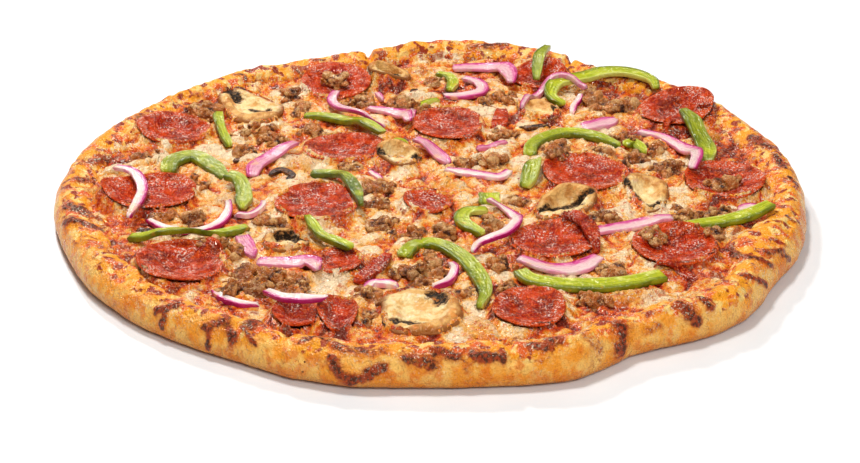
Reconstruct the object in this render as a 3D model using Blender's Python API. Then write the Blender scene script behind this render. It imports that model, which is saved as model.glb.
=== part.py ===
"""Round pizza with a browned rim, cheese and mixed toppings, each larger topping its own solid.

Frame: the origin is the middle of the pizza on its flat base, +X right, +Y away, +Z up.
Tables are in millimetres on the pizza's plane. Everything Blender gets is in metres.
"""
import math
import random

import bmesh
import bpy
import numpy as np
from mathutils import Vector, noise
from mathutils.bvhtree import BVHTree

MM = 0.001
SEED = 14
GAP = 0.0004
STEPS_ROUND = 72

# Crust: outer radius every ten degrees from +X, then rim and floor heights.
RIM_RADIUS = (
    179, 179, 178.5, 179, 179, 176, 173.5, 183, 184, 182, 174, 171, 175, 177, 176.5, 177, 180, 180,
    181, 179, 176.5, 177, 175.5, 174, 172, 175, 175, 172.5, 174, 177, 168.5, 174.5, 179, 175,
    177.5, 177.5,
)
# Height of the rim's crest every thirty degrees.
RIM_HEIGHT = (17.0, 17.8, 18.2, 20.0, 18.0, 17.2, 16.5, 15.5, 16.0, 17.0, 17.5, 17.0)
RIM_WIDTH = 19.0
# Places where the rim is wider: angle, spread in degrees, extra width, extra height.
RIM_LOBES = ((337, 5.5, 13, 1.0), (216, 5.0, 6, 1.2), (300, 4.0, -3, -1.0))
FLOOR_HEIGHT = 8.0
SIDE_NOISE = 0.7
CREST_NOISE = 1.2

CHEESE_HEIGHT = 11.2
CHEESE_EDGE = 12.0
CHEESE_NOISE = 0.9
# Rings of the cheese's top: share of its radius and number of points.
CHEESE_RINGS = ((0.86, 36), (0.66, 30), (0.45, 20), (0.22, 10))

# The two cuts that show: both ends, on the pizza's plane.
CUTS = (((-74, -182), (90, 186)), ((36, -182), (-40, 186)))
CUT_BOTTOM = 9.3
CUT_TOP = 24.0
CUT_SLOPE = 0.36

# Round sausage slices: centre, two radii, cup depth, then curled-up places (angle, lift).
PEPPERONI = {
    "pepperoni_01": (-130, 63, 19, 17, 1.5, ((200, 1.5),)),
    "pepperoni_02": (-134, -12, 22, 17, 2.0, ((180, 6.0), (60, 3.5))),
    "pepperoni_03": (-111, -85, 20, 21, 1.8, ((110, 1.2),)),
    "pepperoni_04": (-54, -21, 19.5, 21, 2.2, ()),
    "pepperoni_05": (-44, 43, 20, 17, 1.5, ((30, 1.5),)),
    "pepperoni_06": (-51, 125, 19, 20, 1.4, ((0, 2.5),)),
    "pepperoni_07": (8, 72, 18.5, 21, 1.8, ((250, 1.5),)),
    "pepperoni_08": (74, 13, 20.5, 21, 2.0, ((140, 2.0),)),
    "pepperoni_09": (125, 85, 19, 19, 1.5, ((30, 3.0), (240, 2.0))),
    "pepperoni_10": (140, 2, 19, 21, 2.0, ((0, 2.5), (150, 2.0))),
    "pepperoni_11": (109, -68, 19.5, 19, 2.0, ((70, 3.5), (180, 2.0))),
    "pepperoni_12": (54, -62, 19, 17, 1.8, ((45, 5.0),)),
    "pepperoni_13": (41, -127, 15.5, 19, 2.0, ((20, 3.0), (250, 1.5))),
    "pepperoni_14": (-58, -132, 9.5, 17, 1.5, ((180, 1.5),)),
    "pepperoni_15": (-40, -132, 8.5, 16, 1.5, ((0, 2.5),)),
    "pepperoni_16": (-41, -81, 10.5, 14, 1.2, ((300, 2.0),)),
    "pepperoni_17": (-2, -19, 11.5, 13, 1.0, ((180, 3.0),)),
    "pepperoni_18": (57, 135, 15, 16, 1.4, ((60, 2.0),)),
}
PEPPERONI_THICKNESS = 1.9

# Strips: width, how much of it the first and last ends keep, then the line they follow.
PEPPERS = {
    "pepper_01": (10, 0.8, 0.5, ((-128, 14), (-127, 26), (-118, 33), (-108, 22), (-100, 7))),
    "pepper_02": (8, 0.8, 0.4, ((-99, 3), (-92, -2), (-89, -13), (-89, -27))),
    "pepper_03": (5.5, 0.6, 0.6, ((-109, 82), (-108, 68), (-101, 46))),
    "pepper_04": (7, 0.6, 0.5, ((-66, 83), (-55, 83), (-41, 73), (-31, 60), (-24, 49))),
    "pepper_05": (6, 0.5, 0.7, ((2, 141), (8, 138), (11, 128), (9, 117))),
    "pepper_06": (6, 0.6, 0.6, ((63, 158), (58, 146), (56, 134), (55, 122))),
    "pepper_07": (
        8, 0.5, 0.6,
        ((117, 106), (115, 117), (104, 127), (90, 129), (77, 124), (66, 119), (62, 108), (68, 98)),
    ),
    "pepper_08": (8, 0.8, 0.5, ((48, 34), (50, 46), (58, 57), (70, 62), (83, 56), (93, 45))),
    "pepper_09": (9, 0.4, 0.8, ((127, 76), (132, 60), (136, 42), (134, 25))),
    "pepper_10": (8, 0.8, 0.7, ((50, 21), (48, 9), (44, -3))),
    "pepper_11": (7, 0.6, 0.6, ((26, -29), (16, -30), (14, -41), (23, -54))),
    "pepper_12": (
        8, 0.9, 0.4, ((-13, -76), (-8, -65), (2, -63), (13, -76), (20, -94), (23, -110), (20, -124)),
    ),
    "pepper_13": (9.5, 0.7, 1.0, ((38, -90), (44, -99), (60, -104), (82, -103), (102, -95))),
    "pepper_14": (8, 0.5, 0.8, ((114, -46), (130, -43), (148, -39), (158, -32))),
    "pepper_15": (6.5, 0.6, 0.7, ((-138, -59), (-125, -63), (-105, -58), (-84, -47))),
    "pepper_16": (5.5, 0.5, 0.8, ((-58, -43), (-50, -60), (-36, -74))),
    "pepper_17": (6, 0.8, 0.4, ((-59, 12), (-49, 11), (-41, 0), (-36, -15), (-33, -31))),
}
PEPPER_HEIGHT = 3.2
ONIONS = {
    "onion_01": (5.5, 0.7, 0.4, ((-153, 7), (-143, 2), (-137, -12), (-137, -28), (-140, -42))),
    "onion_02": (
        4.5, 0.6, 0.5, ((-132, -38), (-122, -47), (-109, -50), (-99, -43), (-95, -32), (-96, -20)),
    ),
    "onion_03": (8, 0.7, 0.6, ((-87, 10), (-86, 23), (-78, 34), (-67, 44))),
    "onion_04": (5.5, 0.7, 0.5, ((-50, 109), (-52, 97), (-44, 84), (-33, 74), (-24, 68))),
    "onion_05": (6, 0.5, 0.7, ((-34, 95), (-22, 90), (-14, 80), (-12, 69))),
    "onion_06": (8, 0.7, 0.5, ((-9, 46), (1, 38), (8, 26))),
    "onion_07": (6, 0.6, 0.6, ((6, 18), (18, 14), (32, 10), (38, 17))),
    "onion_08": (9, 0.7, 0.5, ((11, 149), (25, 150), (37, 144), (41, 134), (42, 121))),
    "onion_09": (7, 0.5, 0.7, ((16, 136), (25, 129), (26, 117), (17, 110), (6, 109))),
    "onion_10": (6.5, 0.6, 0.7, ((104, 64), (116, 57), (125, 41), (129, 24), (125, 7))),
    "onion_11": (
        5, 0.8, 0.5, ((26, -23), (36, -32), (39, -46), (33, -59), (22, -66), (18, -76)),
    ),
    "onion_12": (10, 0.6, 0.6, ((38, -82), (50, -88), (64, -87), (75, -76))),
    "onion_13": (8, 0.8, 0.7, ((74, -51), (87, -46), (100, -42), (111, -41))),
    "onion_14": (8, 0.8, 0.4, ((-78, -81), (-66, -82), (-54, -85), (-50, -95))),
    "onion_15": (5, 0.6, 0.5, ((-72, -117), (-65, -125), (-55, -130), (-44, -130))),
}
ONION_HEIGHT = 2.4
STRIP_STEP = 7.0

# Mushroom slices: the outline of each, then its thickness.
MUSHROOMS = {
    "mushroom_01": (
        ((-110, 113), (-102, 117), (-95, 111), (-86, 103), (-78, 96), (-77, 86), (-81, 77),
         (-92, 73), (-103, 78), (-108, 90), (-112, 102)), 4.5,
    ),
    "mushroom_02": (
        ((-34, 137), (-27, 142), (-16, 140), (-11, 133), (-15, 127), (-24, 125), (-33, 130)), 5.0,
    ),
    "mushroom_03": (
        ((-28, 33), (-25, 40), (-16, 43), (-9, 40), (-5, 33), (-8, 25), (-17, 20), (-25, 25)), 4.0,
    ),
    "mushroom_04": (
        ((47, -31), (51, -19), (60, -10), (69, -8), (77, -14), (77, -23), (70, -31), (60, -37),
         (51, -39)), 4.5,
    ),
    "mushroom_05": (
        ((91, -2), (96, 5), (105, 7), (112, 1), (112, -12), (108, -26), (100, -30), (95, -20),
         (92, -10)), 4.0,
    ),
    "mushroom_06": (
        ((44, 99), (50, 104), (58, 103), (65, 94), (66, 85), (60, 78), (52, 81), (45, 89)), 4.0,
    ),
    "mushroom_07": (
        ((-20, -112), (-10, -107), (0, -108), (9, -113), (13, -124), (12, -137), (4, -147),
         (-8, -149), (-19, -144), (-22, -128)), 4.5,
    ),
    "mushroom_08": (
        ((-76, -56), (-70, -51), (-61, -52), (-56, -58), (-57, -66), (-64, -71), (-73, -70),
         (-77, -63)), 4.5,
    ),
}

# Sausage crumbles: centre and width.
CRUMBLES = (
    (-117, 88, 16), (-142, 30, 12), (-96, 63, 12), (-86, 64, 11), (-80, 56, 11), (-94, 43, 11),
    (-74, 111, 12), (-68, 95, 13), (-59, 66, 14), (-51, 126, 12), (-36, 103, 13), (-17, 101, 15),
    (-2, 95, 9), (0, 131, 9), (36, 113, 11), (28, 104, 9), (38, 107, 10), (83, 108, 15),
    (99, 96, 16), (86, 94, 10), (96, 57, 10), (62, 42, 13), (85, 39, 12), (100, 31, 12),
    (112, 44, 10), (115, 19, 15), (138, -2, 13), (117, -32, 14), (131, -32, 11), (83, -34, 13),
    (99, -60, 12), (81, -89, 13), (69, -118, 12), (128, -55, 12), (30, -83, 13), (26, -41, 12),
    (39, -21, 12), (60, 29, 9), (31, 28, 14), (16, 29, 9), (36, 60, 11), (-42, 20, 11),
    (-26, -4, 14), (-26, -22, 11), (-24, -43, 14), (-8, -52, 13), (5, -50, 12), (-74, -41, 13),
    (-111, -38, 14), (-123, -34, 10), (-98, -71, 12), (-87, -73, 12), (-82, -92, 13),
    (-70, -95, 13), (-60, -98, 11), (-87, -107, 13), (-75, -109, 13), (-63, -108, 11),
    (-28, -114, 14), (-27, -130, 9), (0, -79, 12), (-9, -91, 13), (3, -92, 11), (-5, -101, 9),
    (13, -110, 9), (33, -105, 10), (-115, 0, 10),
)
CRUMBLE_HEIGHT = 0.42
CRUMBLE_LARGE = 13.5
CRUMBLE_SMALL = 10.5
LUMP_FOOT = 1.6
FLAT_ANGLE = 1.0

# Smaller strips that are fused to the cheese: width, end shares, height, line.
FUSED_STRIPS = {
    "onion_16": (3, 0.7, 0.6, 2.2, ((-92, -31), (-85, -31), (-80, -23), (-80, -14))),
    "onion_17": (3.5, 0.7, 0.6, 2.4, ((-9, 99), (-10, 89), (-10, 81))),
    "onion_18": (4, 0.7, 0.6, 2.4, ((22, 44), (29, 48), (38, 52))),
    "onion_19": (4, 0.7, 0.6, 2.4, ((78, 108), (74, 99), (72, 88))),
    "onion_20": (10, 0.7, 0.3, 2.6, ((75, 70), (85, 74), (95, 80))),
    "onion_21": (5, 0.7, 0.6, 2.4, ((143, -27), (149, -24), (154, -27))),
    "onion_22": (7, 1.0, 0.3, 2.8, ((-87, -55), (-84, -63), (-80, -77))),
    "onion_23": (4, 0.7, 0.6, 2.4, ((-95, -106), (-92, -113), (-83, -120), (-74, -122))),
    "onion_24": (4.5, 0.6, 0.6, 2.4, ((-29, -108), (-26, -101), (-19, -101), (-15, -104))),
    "onion_25": (4, 0.7, 0.6, 2.4, ((8, -80), (10, -88), (7, -98), (0, -104))),
    "onion_26": (3, 0.7, 0.6, 2.2, ((-31, 18), (-27, 12), (-24, 7))),
    "onion_27": (3, 0.7, 0.6, 2.2, ((-30, 119), (-26, 107))),
    "pepper_18": (6, 0.7, 0.6, 2.6, ((-21, 47), (-16, 48), (-11, 46))),
    "pepper_19": (6, 0.7, 0.6, 2.6, ((96, 46), (101, 51), (105, 39))),
    "pepper_20": (10, 1.0, 1.0, 2.6, ((27, -8), (27, -20))),
    "pepper_21": (3.5, 0.7, 0.6, 2.4, ((4, 106), (-3, 103), (-8, 97))),
    "pepperoni_19": (8, 0.6, 0.6, 2.4, ((36, 95), (35, 82), (33, 70))),
    "pepperoni_20": (7, 0.7, 0.5, 2.4, ((-33, -100), (-26, -87), (-19, -74))),
    "cheese_ridge": (10, 0.6, 0.6, 3.2, ((-151, 20), (-141, 22), (-136, 35), (-133, 45))),
    "cheese_roll": (11, 0.6, 0.7, 3.4, ((76, -117), (87, -114), (98, -108))),
    "cheese_flap": (14, 0.5, 0.9, 2.6, ((20, -134), (20, -151))),
}
# Bubbles in the cheese: centre, length, width, height, turn.
BUBBLES = (
    (-64, 25, 15, 15, 2.6, 20), (8, 3, 17, 12, 2.4, 0), (-9, 145, 17, 12, 2.6, 0),
    (-118, 6, 22, 14, 2.2, 160), (142, 60, 9, 8, 2.0, 70), (-107, -25, 7, 10, 1.8, 0),
    (84, -14, 12, 9, 1.8, 60), (60, 70, 12, 8, 1.8, 0), (-60, 5, 10, 6, 1.6, 0),
)

COLOURS = {
    "crust": ((0.78, 0.45, 0.16, 1.0), 0.55),
    "cheese": ((0.93, 0.74, 0.42, 1.0), 0.35),
    "pepperoni": ((0.55, 0.07, 0.04, 1.0), 0.35),
    "pepper": ((0.40, 0.50, 0.06, 1.0), 0.30),
    "onion": ((0.86, 0.42, 0.55, 1.0), 0.30),
    "mushroom": ((0.78, 0.58, 0.34, 1.0), 0.50),
}


def material(kind):
    """Return the plain material of one kind of food."""
    found = bpy.data.materials.get(kind)
    if found:
        return found
    made = bpy.data.materials.new(kind)
    made.use_nodes = True
    shader = made.node_tree.nodes["Principled BSDF"]
    colour, roughness = COLOURS[kind]
    shader.inputs["Base Color"].default_value = colour
    shader.inputs["Roughness"].default_value = roughness
    shader.inputs["Metallic"].default_value = 0.0
    made.diffuse_color = colour
    return made


def add_object(name, kind, mesh, collection):
    """Put a mesh in the scene as a named object with the material of its kind."""
    mesh.materials.clear()
    mesh.materials.append(material(kind))
    made = bpy.data.objects.new(name, mesh)
    collection.objects.link(made)
    return made


def mesh_from(name, points, faces):
    """Make a mesh from points and faces, all its normals outward."""
    mesh = bpy.data.meshes.new(name)
    mesh.from_pydata(points, [], faces)
    work = bmesh.new()
    work.from_mesh(mesh)
    bmesh.ops.recalc_face_normals(work, faces=work.faces)
    bmesh.ops.triangulate(work, faces=work.faces)
    work.to_mesh(mesh)
    work.free()
    return mesh


def round_value(table, angle):
    """Read a table of values spaced evenly round the circle, smoothly between them."""
    place = (math.degrees(angle) % 360.0) / 360.0 * len(table)
    index = int(place)
    share = place - index
    a, b, c, d = (table[(index + k) % len(table)] for k in (-1, 0, 1, 2))
    return b + 0.5 * share * (
        c - a + share * (2 * a - 5 * b + 4 * c - d + share * (3 * (b - c) + d - a))
    )


def outer_radius(angle):
    """Return the crust's outer radius in a direction."""
    return round_value(RIM_RADIUS, angle) * MM


def lobe_extra(angle, which):
    """Return the extra rim width (2) or height (3) from the lobes in a direction."""
    total = 0.0
    for lobe in RIM_LOBES:
        off = (math.degrees(angle) - lobe[0] + 180.0) % 360.0 - 180.0
        total += lobe[which] * math.exp(-(off / lobe[1]) ** 2)
    return total * MM


def inner_radius(angle):
    """Return the radius of the wall that the cheese lies against."""
    return outer_radius(angle) - RIM_WIDTH * MM - lobe_extra(angle, 2)


def ripple(x, y, size, seed):
    """Return smooth noise between about -1 and 1, with bumps of the given size."""
    return noise.noise(Vector((x / size, y / size, seed)))


def ring_points(radius_of, height_of, count=STEPS_ROUND):
    """Return one ring of points round the pizza."""
    points = []
    for step in range(count):
        angle = 2.0 * math.pi * step / count
        radius = radius_of(angle)
        x, y = radius * math.cos(angle), radius * math.sin(angle)
        points.append((x, y, height_of(x, y, angle)))
    return points


def bridge(low, high):
    """Join two rings of point numbers, which may differ in count, with triangles."""
    faces = []
    i = j = 0
    while i < len(low) or j < len(high):
        a, b = low[i % len(low)], high[j % len(high)]
        if j == len(high) or (i < len(low) and (i + 1) * len(high) <= (j + 1) * len(low)):
            faces.append((a, low[(i + 1) % len(low)], b))
            i += 1
        else:
            faces.append((a, high[(j + 1) % len(high)], b))
            j += 1
    return faces


def skin(rings, first, last):
    """Join rings of points with faces and close both ends with a fan to a middle point."""
    points, numbers, faces = [], [], []
    for ring in rings:
        numbers.append(list(range(len(points), len(points) + len(ring))))
        points += ring
    for low, high in zip(numbers, numbers[1:]):
        faces += bridge(low, high)
    for middle, ring in ((first, numbers[0]), (last, numbers[-1])):
        points.append(middle)
        for step in range(len(ring)):
            faces.append((len(points) - 1, ring[step], ring[(step + 1) % len(ring)]))
    return points, faces


def rim_height(angle):
    """Return the height of the rim's crest in a direction."""
    return round_value(RIM_HEIGHT, angle) * MM + lobe_extra(angle, 3)


def build_crust(collection):
    """Build the crust: a flat base, a bulging side, a bumpy rim and a floor for the cheese."""
    # Share of the rim's width in from the edge, height as a share of the crest, noise.
    profile = (
        (0.26, 0.0, 0.0), (0.07, 0.06, 0.2), (0.0, 0.28, 1.0), (0.03, 0.54, 1.0),
        (0.16, 0.82, 1.0), (0.42, 1.0, 1.0), (0.72, 0.92, 0.8), (0.97, 0.74, 0.2),
    )
    rings = []
    for index, (inset, share, rough) in enumerate(profile):

        def radius_of(angle, inset=inset, rough=rough, index=index):
            edge = outer_radius(angle)
            width = edge - inner_radius(angle)
            bulge = ripple(90.0 * math.cos(angle), 90.0 * math.sin(angle), 16.0, 3.0 + index)
            return edge - inset * width + rough * SIDE_NOISE * bulge * MM

        def height_of(x, y, angle, share=share, rough=rough):
            bump = ripple(x / MM, y / MM, 13.0, 8.0)
            return share * rim_height(angle) + share * rough * CREST_NOISE * bump * MM

        rings.append(ring_points(radius_of, height_of))
    floor = FLOOR_HEIGHT * MM
    rings.append(ring_points(inner_radius, lambda x, y, angle: floor))
    points, faces = skin(rings, (0.0, 0.0, 0.0), (0.0, 0.0, floor))
    return add_object("crust", "crust", mesh_from("crust", points, faces), collection)


def cheese_top(x, y, share):
    """Return the height of the bare cheese, which rises a little to its edge."""
    wave = ripple(x / MM, y / MM, 30.0, 21.0) + 0.5 * ripple(x / MM, y / MM, 14.0, 33.0)
    lift = (CHEESE_EDGE - CHEESE_HEIGHT) * share ** 8
    return (CHEESE_HEIGHT + lift + CHEESE_NOISE * wave * (1.0 - 0.7 * share ** 8)) * MM


def build_cheese(collection):
    """Build the cheese layer on the crust's floor, inside its rim."""
    base = FLOOR_HEIGHT * MM + GAP

    def edge_of(angle):
        return inner_radius(angle) - GAP

    rings = [
        ring_points(edge_of, lambda x, y, angle: base),
        ring_points(edge_of, lambda x, y, angle: cheese_top(x, y, 1.0)),
    ]
    for share, count in CHEESE_RINGS:
        rings.append(
            ring_points(
                lambda angle, share=share: share * edge_of(angle),
                lambda x, y, angle, share=share: cheese_top(x, y, share),
                count,
            )
        )
    points, faces = skin(rings, (0.0, 0.0, base), (0.0, 0.0, cheese_top(0.0, 0.0, 0.0)))
    return add_object("cheese", "cheese", mesh_from("cheese", points, faces), collection)


class Ground:
    """Height of the top of everything laid so far, and what it belongs to, on a fine grid."""

    def __init__(self, half, step):
        self.half = half
        self.step = step
        self.size = int(round(2 * half / step)) + 1
        self.height = np.zeros((self.size, self.size))
        self.owner = np.full((self.size, self.size), -1)

    def cells(self, corners, margin):
        """Return the grid block round a triangle and which of its cells the triangle covers."""
        low = [min(c[k] for c in corners) - margin for k in (0, 1)]
        high = [max(c[k] for c in corners) + margin for k in (0, 1)]
        first = [max(int((v + self.half) / self.step), 0) for v in low]
        last = [min(int((v + self.half) / self.step) + 2, self.size) for v in high]
        x = np.arange(first[0], last[0]) * self.step - self.half
        y = np.arange(first[1], last[1]) * self.step - self.half
        x, y = np.meshgrid(x, y, indexing="ij")
        (ax, ay), (bx, by), (cx, cy) = (tuple(c[:2]) for c in corners)
        area = (bx - ax) * (cy - ay) - (by - ay) * (cx - ax)
        if abs(area) < 1e-12:
            return None
        u = ((x - ax) * (cy - ay) - (y - ay) * (cx - ax)) / area
        v = ((bx - ax) * (y - ay) - (by - ay) * (x - ax)) / area
        edge = max(math.dist(corners[i][:2], corners[i - 1][:2]) for i in range(3))
        slack = margin * edge / abs(area)
        inside = (u >= -slack) & (v >= -slack) & (u + v <= 1.0 + slack)
        return (slice(first[0], last[0]), slice(first[1], last[1])), u, v, inside

    def cover(self, mesh, owner):
        """Raise the grid to the upper faces of a mesh."""
        mesh.calc_loop_triangles()
        for triangle in mesh.loop_triangles:
            if triangle.normal.z < 0.02:
                continue
            corners = [mesh.vertices[i].co for i in triangle.vertices]
            found = self.cells(corners, self.step)
            if found is None:
                continue
            block, u, v, inside = found
            za, zb, zc = (c.z for c in corners)
            level = np.clip(za + u * (zb - za) + v * (zc - za), min(za, zb, zc), max(za, zb, zc))
            rises = inside & (level > self.height[block])
            self.height[block][rises] = level[rises]
            self.owner[block][rises] = owner

    def top_over(self, corners):
        """Return the greatest height under a triangle of a plan."""
        found = self.cells([tuple(c) + (0.0,) for c in corners], 0.6 * self.step)
        if found is None:
            return 0.0
        block, _, _, inside = found
        if not inside.any():
            return float(self.height[block].max())
        return float(self.height[block][inside].max())

    def at(self, x, y):
        """Return the height and the owner at one place."""
        i = int(round((x + self.half) / self.step))
        j = int(round((y + self.half) / self.step))
        return float(self.height[i, j]), int(self.owner[i, j])


def drape(plan, triangles, ground):
    """Return a resting height for each point of a plan, so that no face dips into the ground."""
    rest = [0.0] * len(plan)
    beside = [set() for _ in plan]
    for triangle in triangles:
        top = ground.top_over([plan[i] for i in triangle])
        for i in triangle:
            rest[i] = max(rest[i], top)
            beside[i].update(triangle)
    for _ in range(2):
        eased = [sum(rest[j] for j in near) / len(near) for near in beside]
        rest = [max(a, b) for a, b in zip(rest, eased)]
    return rest


def slab(name, plan, triangles, bottom, thickness):
    """Make a closed mesh from a plan, the height of its underside and its thickness."""
    count = len(plan)
    points = [(x, y, z) for (x, y), z in zip(plan, bottom)]
    points += [(x, y, z + t) for (x, y), z, t in zip(plan, bottom, thickness)]
    faces = [tuple(reversed(t)) for t in triangles]
    faces += [tuple(i + count for i in t) for t in triangles]
    used = {}
    for a, b, c in triangles:
        for edge in ((a, b), (b, c), (c, a)):
            key = tuple(sorted(edge))
            used[key] = None if key in used else edge
    for edge in used.values():
        if edge:
            a, b = edge
            faces.append((a, b, b + count, a + count))
    return mesh_from(name, points, faces)


def curve_points(path, spacing):
    """Return points at an even spacing on a smooth curve through the path, in metres."""
    knots = [Vector((x * MM, y * MM)) for x, y in path]
    knots = [2 * knots[0] - knots[1]] + knots + [2 * knots[-1] - knots[-2]]
    dense = []
    for i in range(1, len(knots) - 2):
        a, b, c, d = knots[i - 1: i + 3]
        for step in range(20):
            t = step / 20.0
            dense.append(
                0.5 * (2 * b + (c - a) * t + (2 * a - 5 * b + 4 * c - d) * t * t
                       + (3 * b - a - 3 * c + d) * t ** 3)
            )
    dense.append(knots[-2])
    reach = [0.0]
    for before, after in zip(dense, dense[1:]):
        reach.append(reach[-1] + (after - before).length)
    count = max(int(round(reach[-1] / spacing)), 1)
    points = []
    for step in range(count + 1):
        target = reach[-1] * step / count
        index = max(i for i, r in enumerate(reach) if r <= target + 1e-9)
        index = min(index, len(dense) - 2)
        share = (target - reach[index]) / (reach[index + 1] - reach[index])
        points.append(dense[index].lerp(dense[index + 1], share))
    return points


def strip_plan(path, width, first, last, columns, spacing):
    """Return the plan of a strip: its points, triangles and how far across each point is."""
    line = curve_points(path, spacing)
    plan, across, triangles = [], [], []
    end = len(line) - 1
    for i, point in enumerate(line):
        ahead = line[min(i + 1, end)] - line[max(i - 1, 0)]
        side = Vector((-ahead.y, ahead.x)).normalized()
        t = i / end
        taper = min(1.0, first + (1.0 - first) * t * 4.0, last + (1.0 - last) * (1.0 - t) * 4.0)
        for k in range(columns):
            offset = 2.0 * k / (columns - 1) - 1.0
            place = point - side * offset * 0.5 * width * MM * taper
            plan.append((place.x, place.y))
            across.append(offset)
    for i in range(end):
        for k in range(columns - 1):
            a = i * columns + k
            b = a + columns
            triangles += [(a, a + 1, b + 1), (a, b + 1, b)]
    return plan, triangles, across


def build_strip(name, kind, entry, height, ground, owner, collection):
    """Lay one strip of pepper or onion over whatever is already there."""
    width, first, last, path = entry
    plan, triangles, across = strip_plan(path, width, first, last, 3, STRIP_STEP * MM)
    rest = drape(plan, triangles, ground)
    bottom = [r + GAP for r in rest]
    thickness = [height * MM * (1.0 - 0.45 * a * a) for a in across]
    mesh = slab(name, plan, triangles, bottom, thickness)
    ground.cover(mesh, owner)
    return add_object(name, kind, mesh, collection)


def disc_plan(outline, inner):
    """Return the plan of a slice: a middle point, an inner ring and the outline."""
    count = len(outline)
    cx = sum(x for x, _ in outline) / count
    cy = sum(y for _, y in outline) / count
    plan = [(cx, cy)]
    plan += [(cx + inner * (x - cx), cy + inner * (y - cy)) for x, y in outline]
    plan += list(outline)
    triangles = []
    for i in range(count):
        j = (i + 1) % count
        triangles += [
            (0, 1 + i, 1 + j),
            (1 + i, 1 + count + i, 1 + count + j),
            (1 + i, 1 + count + j, 1 + j),
        ]
    return plan, triangles


def build_pepperoni(name, entry, ground, owner, collection):
    """Lay one cupped slice of pepperoni, with its curled-up places."""
    x, y, across, along, cup, curls = entry
    count = 13 if max(across, along) > 15 else 11
    outline = []
    for step in range(count):
        angle = 2.0 * math.pi * step / count
        outline.append(
            ((x + across * math.cos(angle)) * MM, (y + along * math.sin(angle)) * MM)
        )
    plan, triangles = disc_plan(outline, 0.64)
    rest = drape(plan, triangles, ground)
    bottom, thickness = [], []
    for (px, py), level in zip(plan, rest):
        dx, dy = (px / MM - x) / across, (py / MM - y) / along
        out = math.hypot(dx, dy)
        lift = cup * out ** 3
        for angle, rise in curls:
            facing = dx * math.cos(math.radians(angle)) + dy * math.sin(math.radians(angle))
            lift += rise * max(facing, 0.0) ** 3
        bottom.append(level + GAP + lift * MM)
        thickness.append((PEPPERONI_THICKNESS - 0.5 * out) * MM)
    mesh = slab(name, plan, triangles, bottom, thickness)
    ground.cover(mesh, owner)
    return add_object(name, "pepperoni", mesh, collection)


def build_mushroom(name, entry, ground, owner, collection):
    """Lay one slice of mushroom."""
    outline, height = entry
    plan, triangles = disc_plan([(x * MM, y * MM) for x, y in outline], 0.66)
    if sum(a[0] * b[1] - b[0] * a[1] for a, b in zip(outline, outline[1:] + outline[:1])) < 0:
        triangles = [tuple(reversed(t)) for t in triangles]
    rest = drape(plan, triangles, ground)
    bottom = [r + GAP for r in rest]
    inner = len(outline) + 1
    thickness = [height * MM * (1.0 if i < inner else 0.55) for i in range(len(plan))]
    mesh = slab(name, plan, triangles, bottom, thickness)
    ground.cover(mesh, owner)
    return add_object(name, "mushroom", mesh, collection)


def lump_mesh(name, centre, radii, turn, sides, rough, ground, rng):
    """Make one domed lump, uneven by a share, with its foot sunk in what lies under it."""
    x, y = centre
    long_side, short_side, height = radii
    level = ground.at(x * MM, y * MM)[0]
    # Share of the radii, then share of the height.
    rings = ((0.9, None), (1.0, 0.3), (0.68, 0.84))
    if sides < 6:
        rings = rings[:2]
    points, faces = [], []
    for share, rise in rings:
        for step in range(sides):
            angle = 2.0 * math.pi * (step + rng.uniform(-0.2, 0.2)) / sides
            swell = share * rng.uniform(1.0 - rough, 1.0 + rough)
            a, b = long_side * swell * math.cos(angle), short_side * swell * math.sin(angle)
            lift = -LUMP_FOOT if rise is None else height * rise * rng.uniform(0.85, 1.15)
            points.append((
                (x + a * math.cos(turn) - b * math.sin(turn)) * MM,
                (y + a * math.sin(turn) + b * math.cos(turn)) * MM,
                level + lift * MM,
            ))
    points.append((x * MM, y * MM, level + height * MM))
    faces.append(tuple(range(sides)))
    for row in range(len(rings) - 1):
        for step in range(sides):
            a, b = row * sides + step, row * sides + (step + 1) % sides
            faces.append((a, b, b + sides, a + sides))
    base = (len(rings) - 1) * sides
    for step in range(sides):
        faces.append((base + step, base + (step + 1) % sides, len(points) - 1))
    return mesh_from(name, points, faces)


def crumble_mesh(name, x, y, width, ground, rng):
    """Make one rough crumble of sausage."""
    sides = 8 if width > CRUMBLE_LARGE else 6 if width > CRUMBLE_SMALL else 5
    radii = (width * rng.uniform(0.48, 0.54), width * rng.uniform(0.42, 0.48), width * CRUMBLE_HEIGHT)
    turn = rng.uniform(0.0, math.pi)
    return lump_mesh(name, (x, y), radii, turn, sides, 0.1, ground, rng)


def bubble_mesh(name, entry, ground, rng):
    """Make one low bubble of cheese."""
    x, y, length, width, height, turn = entry
    radii = (length * 0.5, width * 0.5, height)
    return lump_mesh(name, (x, y), radii, math.radians(turn), 8, 0.05, ground, rng)


def sunk_strip_mesh(name, entry, ground):
    """Make one small strip whose underside is sunk in the cheese."""
    width, first, last, height, path = entry
    plan, triangles, _ = strip_plan(path, width, first, last, 2, STRIP_STEP * MM)
    levels = [ground.at(x, y)[0] for x, y in plan]
    bottom = [level - 1.0 * MM for level in levels]
    return slab(name, plan, triangles, bottom, [(height + 1.0) * MM] * len(plan))


def tree_of(mesh, grow=0.0):
    """Return a search tree of a mesh, grown by a distance from its middle."""
    points = [v.co.copy() for v in mesh.vertices]
    if grow:
        middle = sum(points, Vector()) / len(points)
        reach = max((p - middle).length for p in points)
        points = [middle + (p - middle) * (1.0 + grow / reach) for p in points]
    return BVHTree.FromPolygons(points, [tuple(p.vertices) for p in mesh.polygons])


def crossed(mesh, trees, host):
    """Return the name of a solid other than the host that a mesh would touch, if any."""
    own = tree_of(mesh, 2.0 * GAP)
    for name, tree in trees.items():
        if name != host and own.overlap(tree):
            return name
    return None


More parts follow.
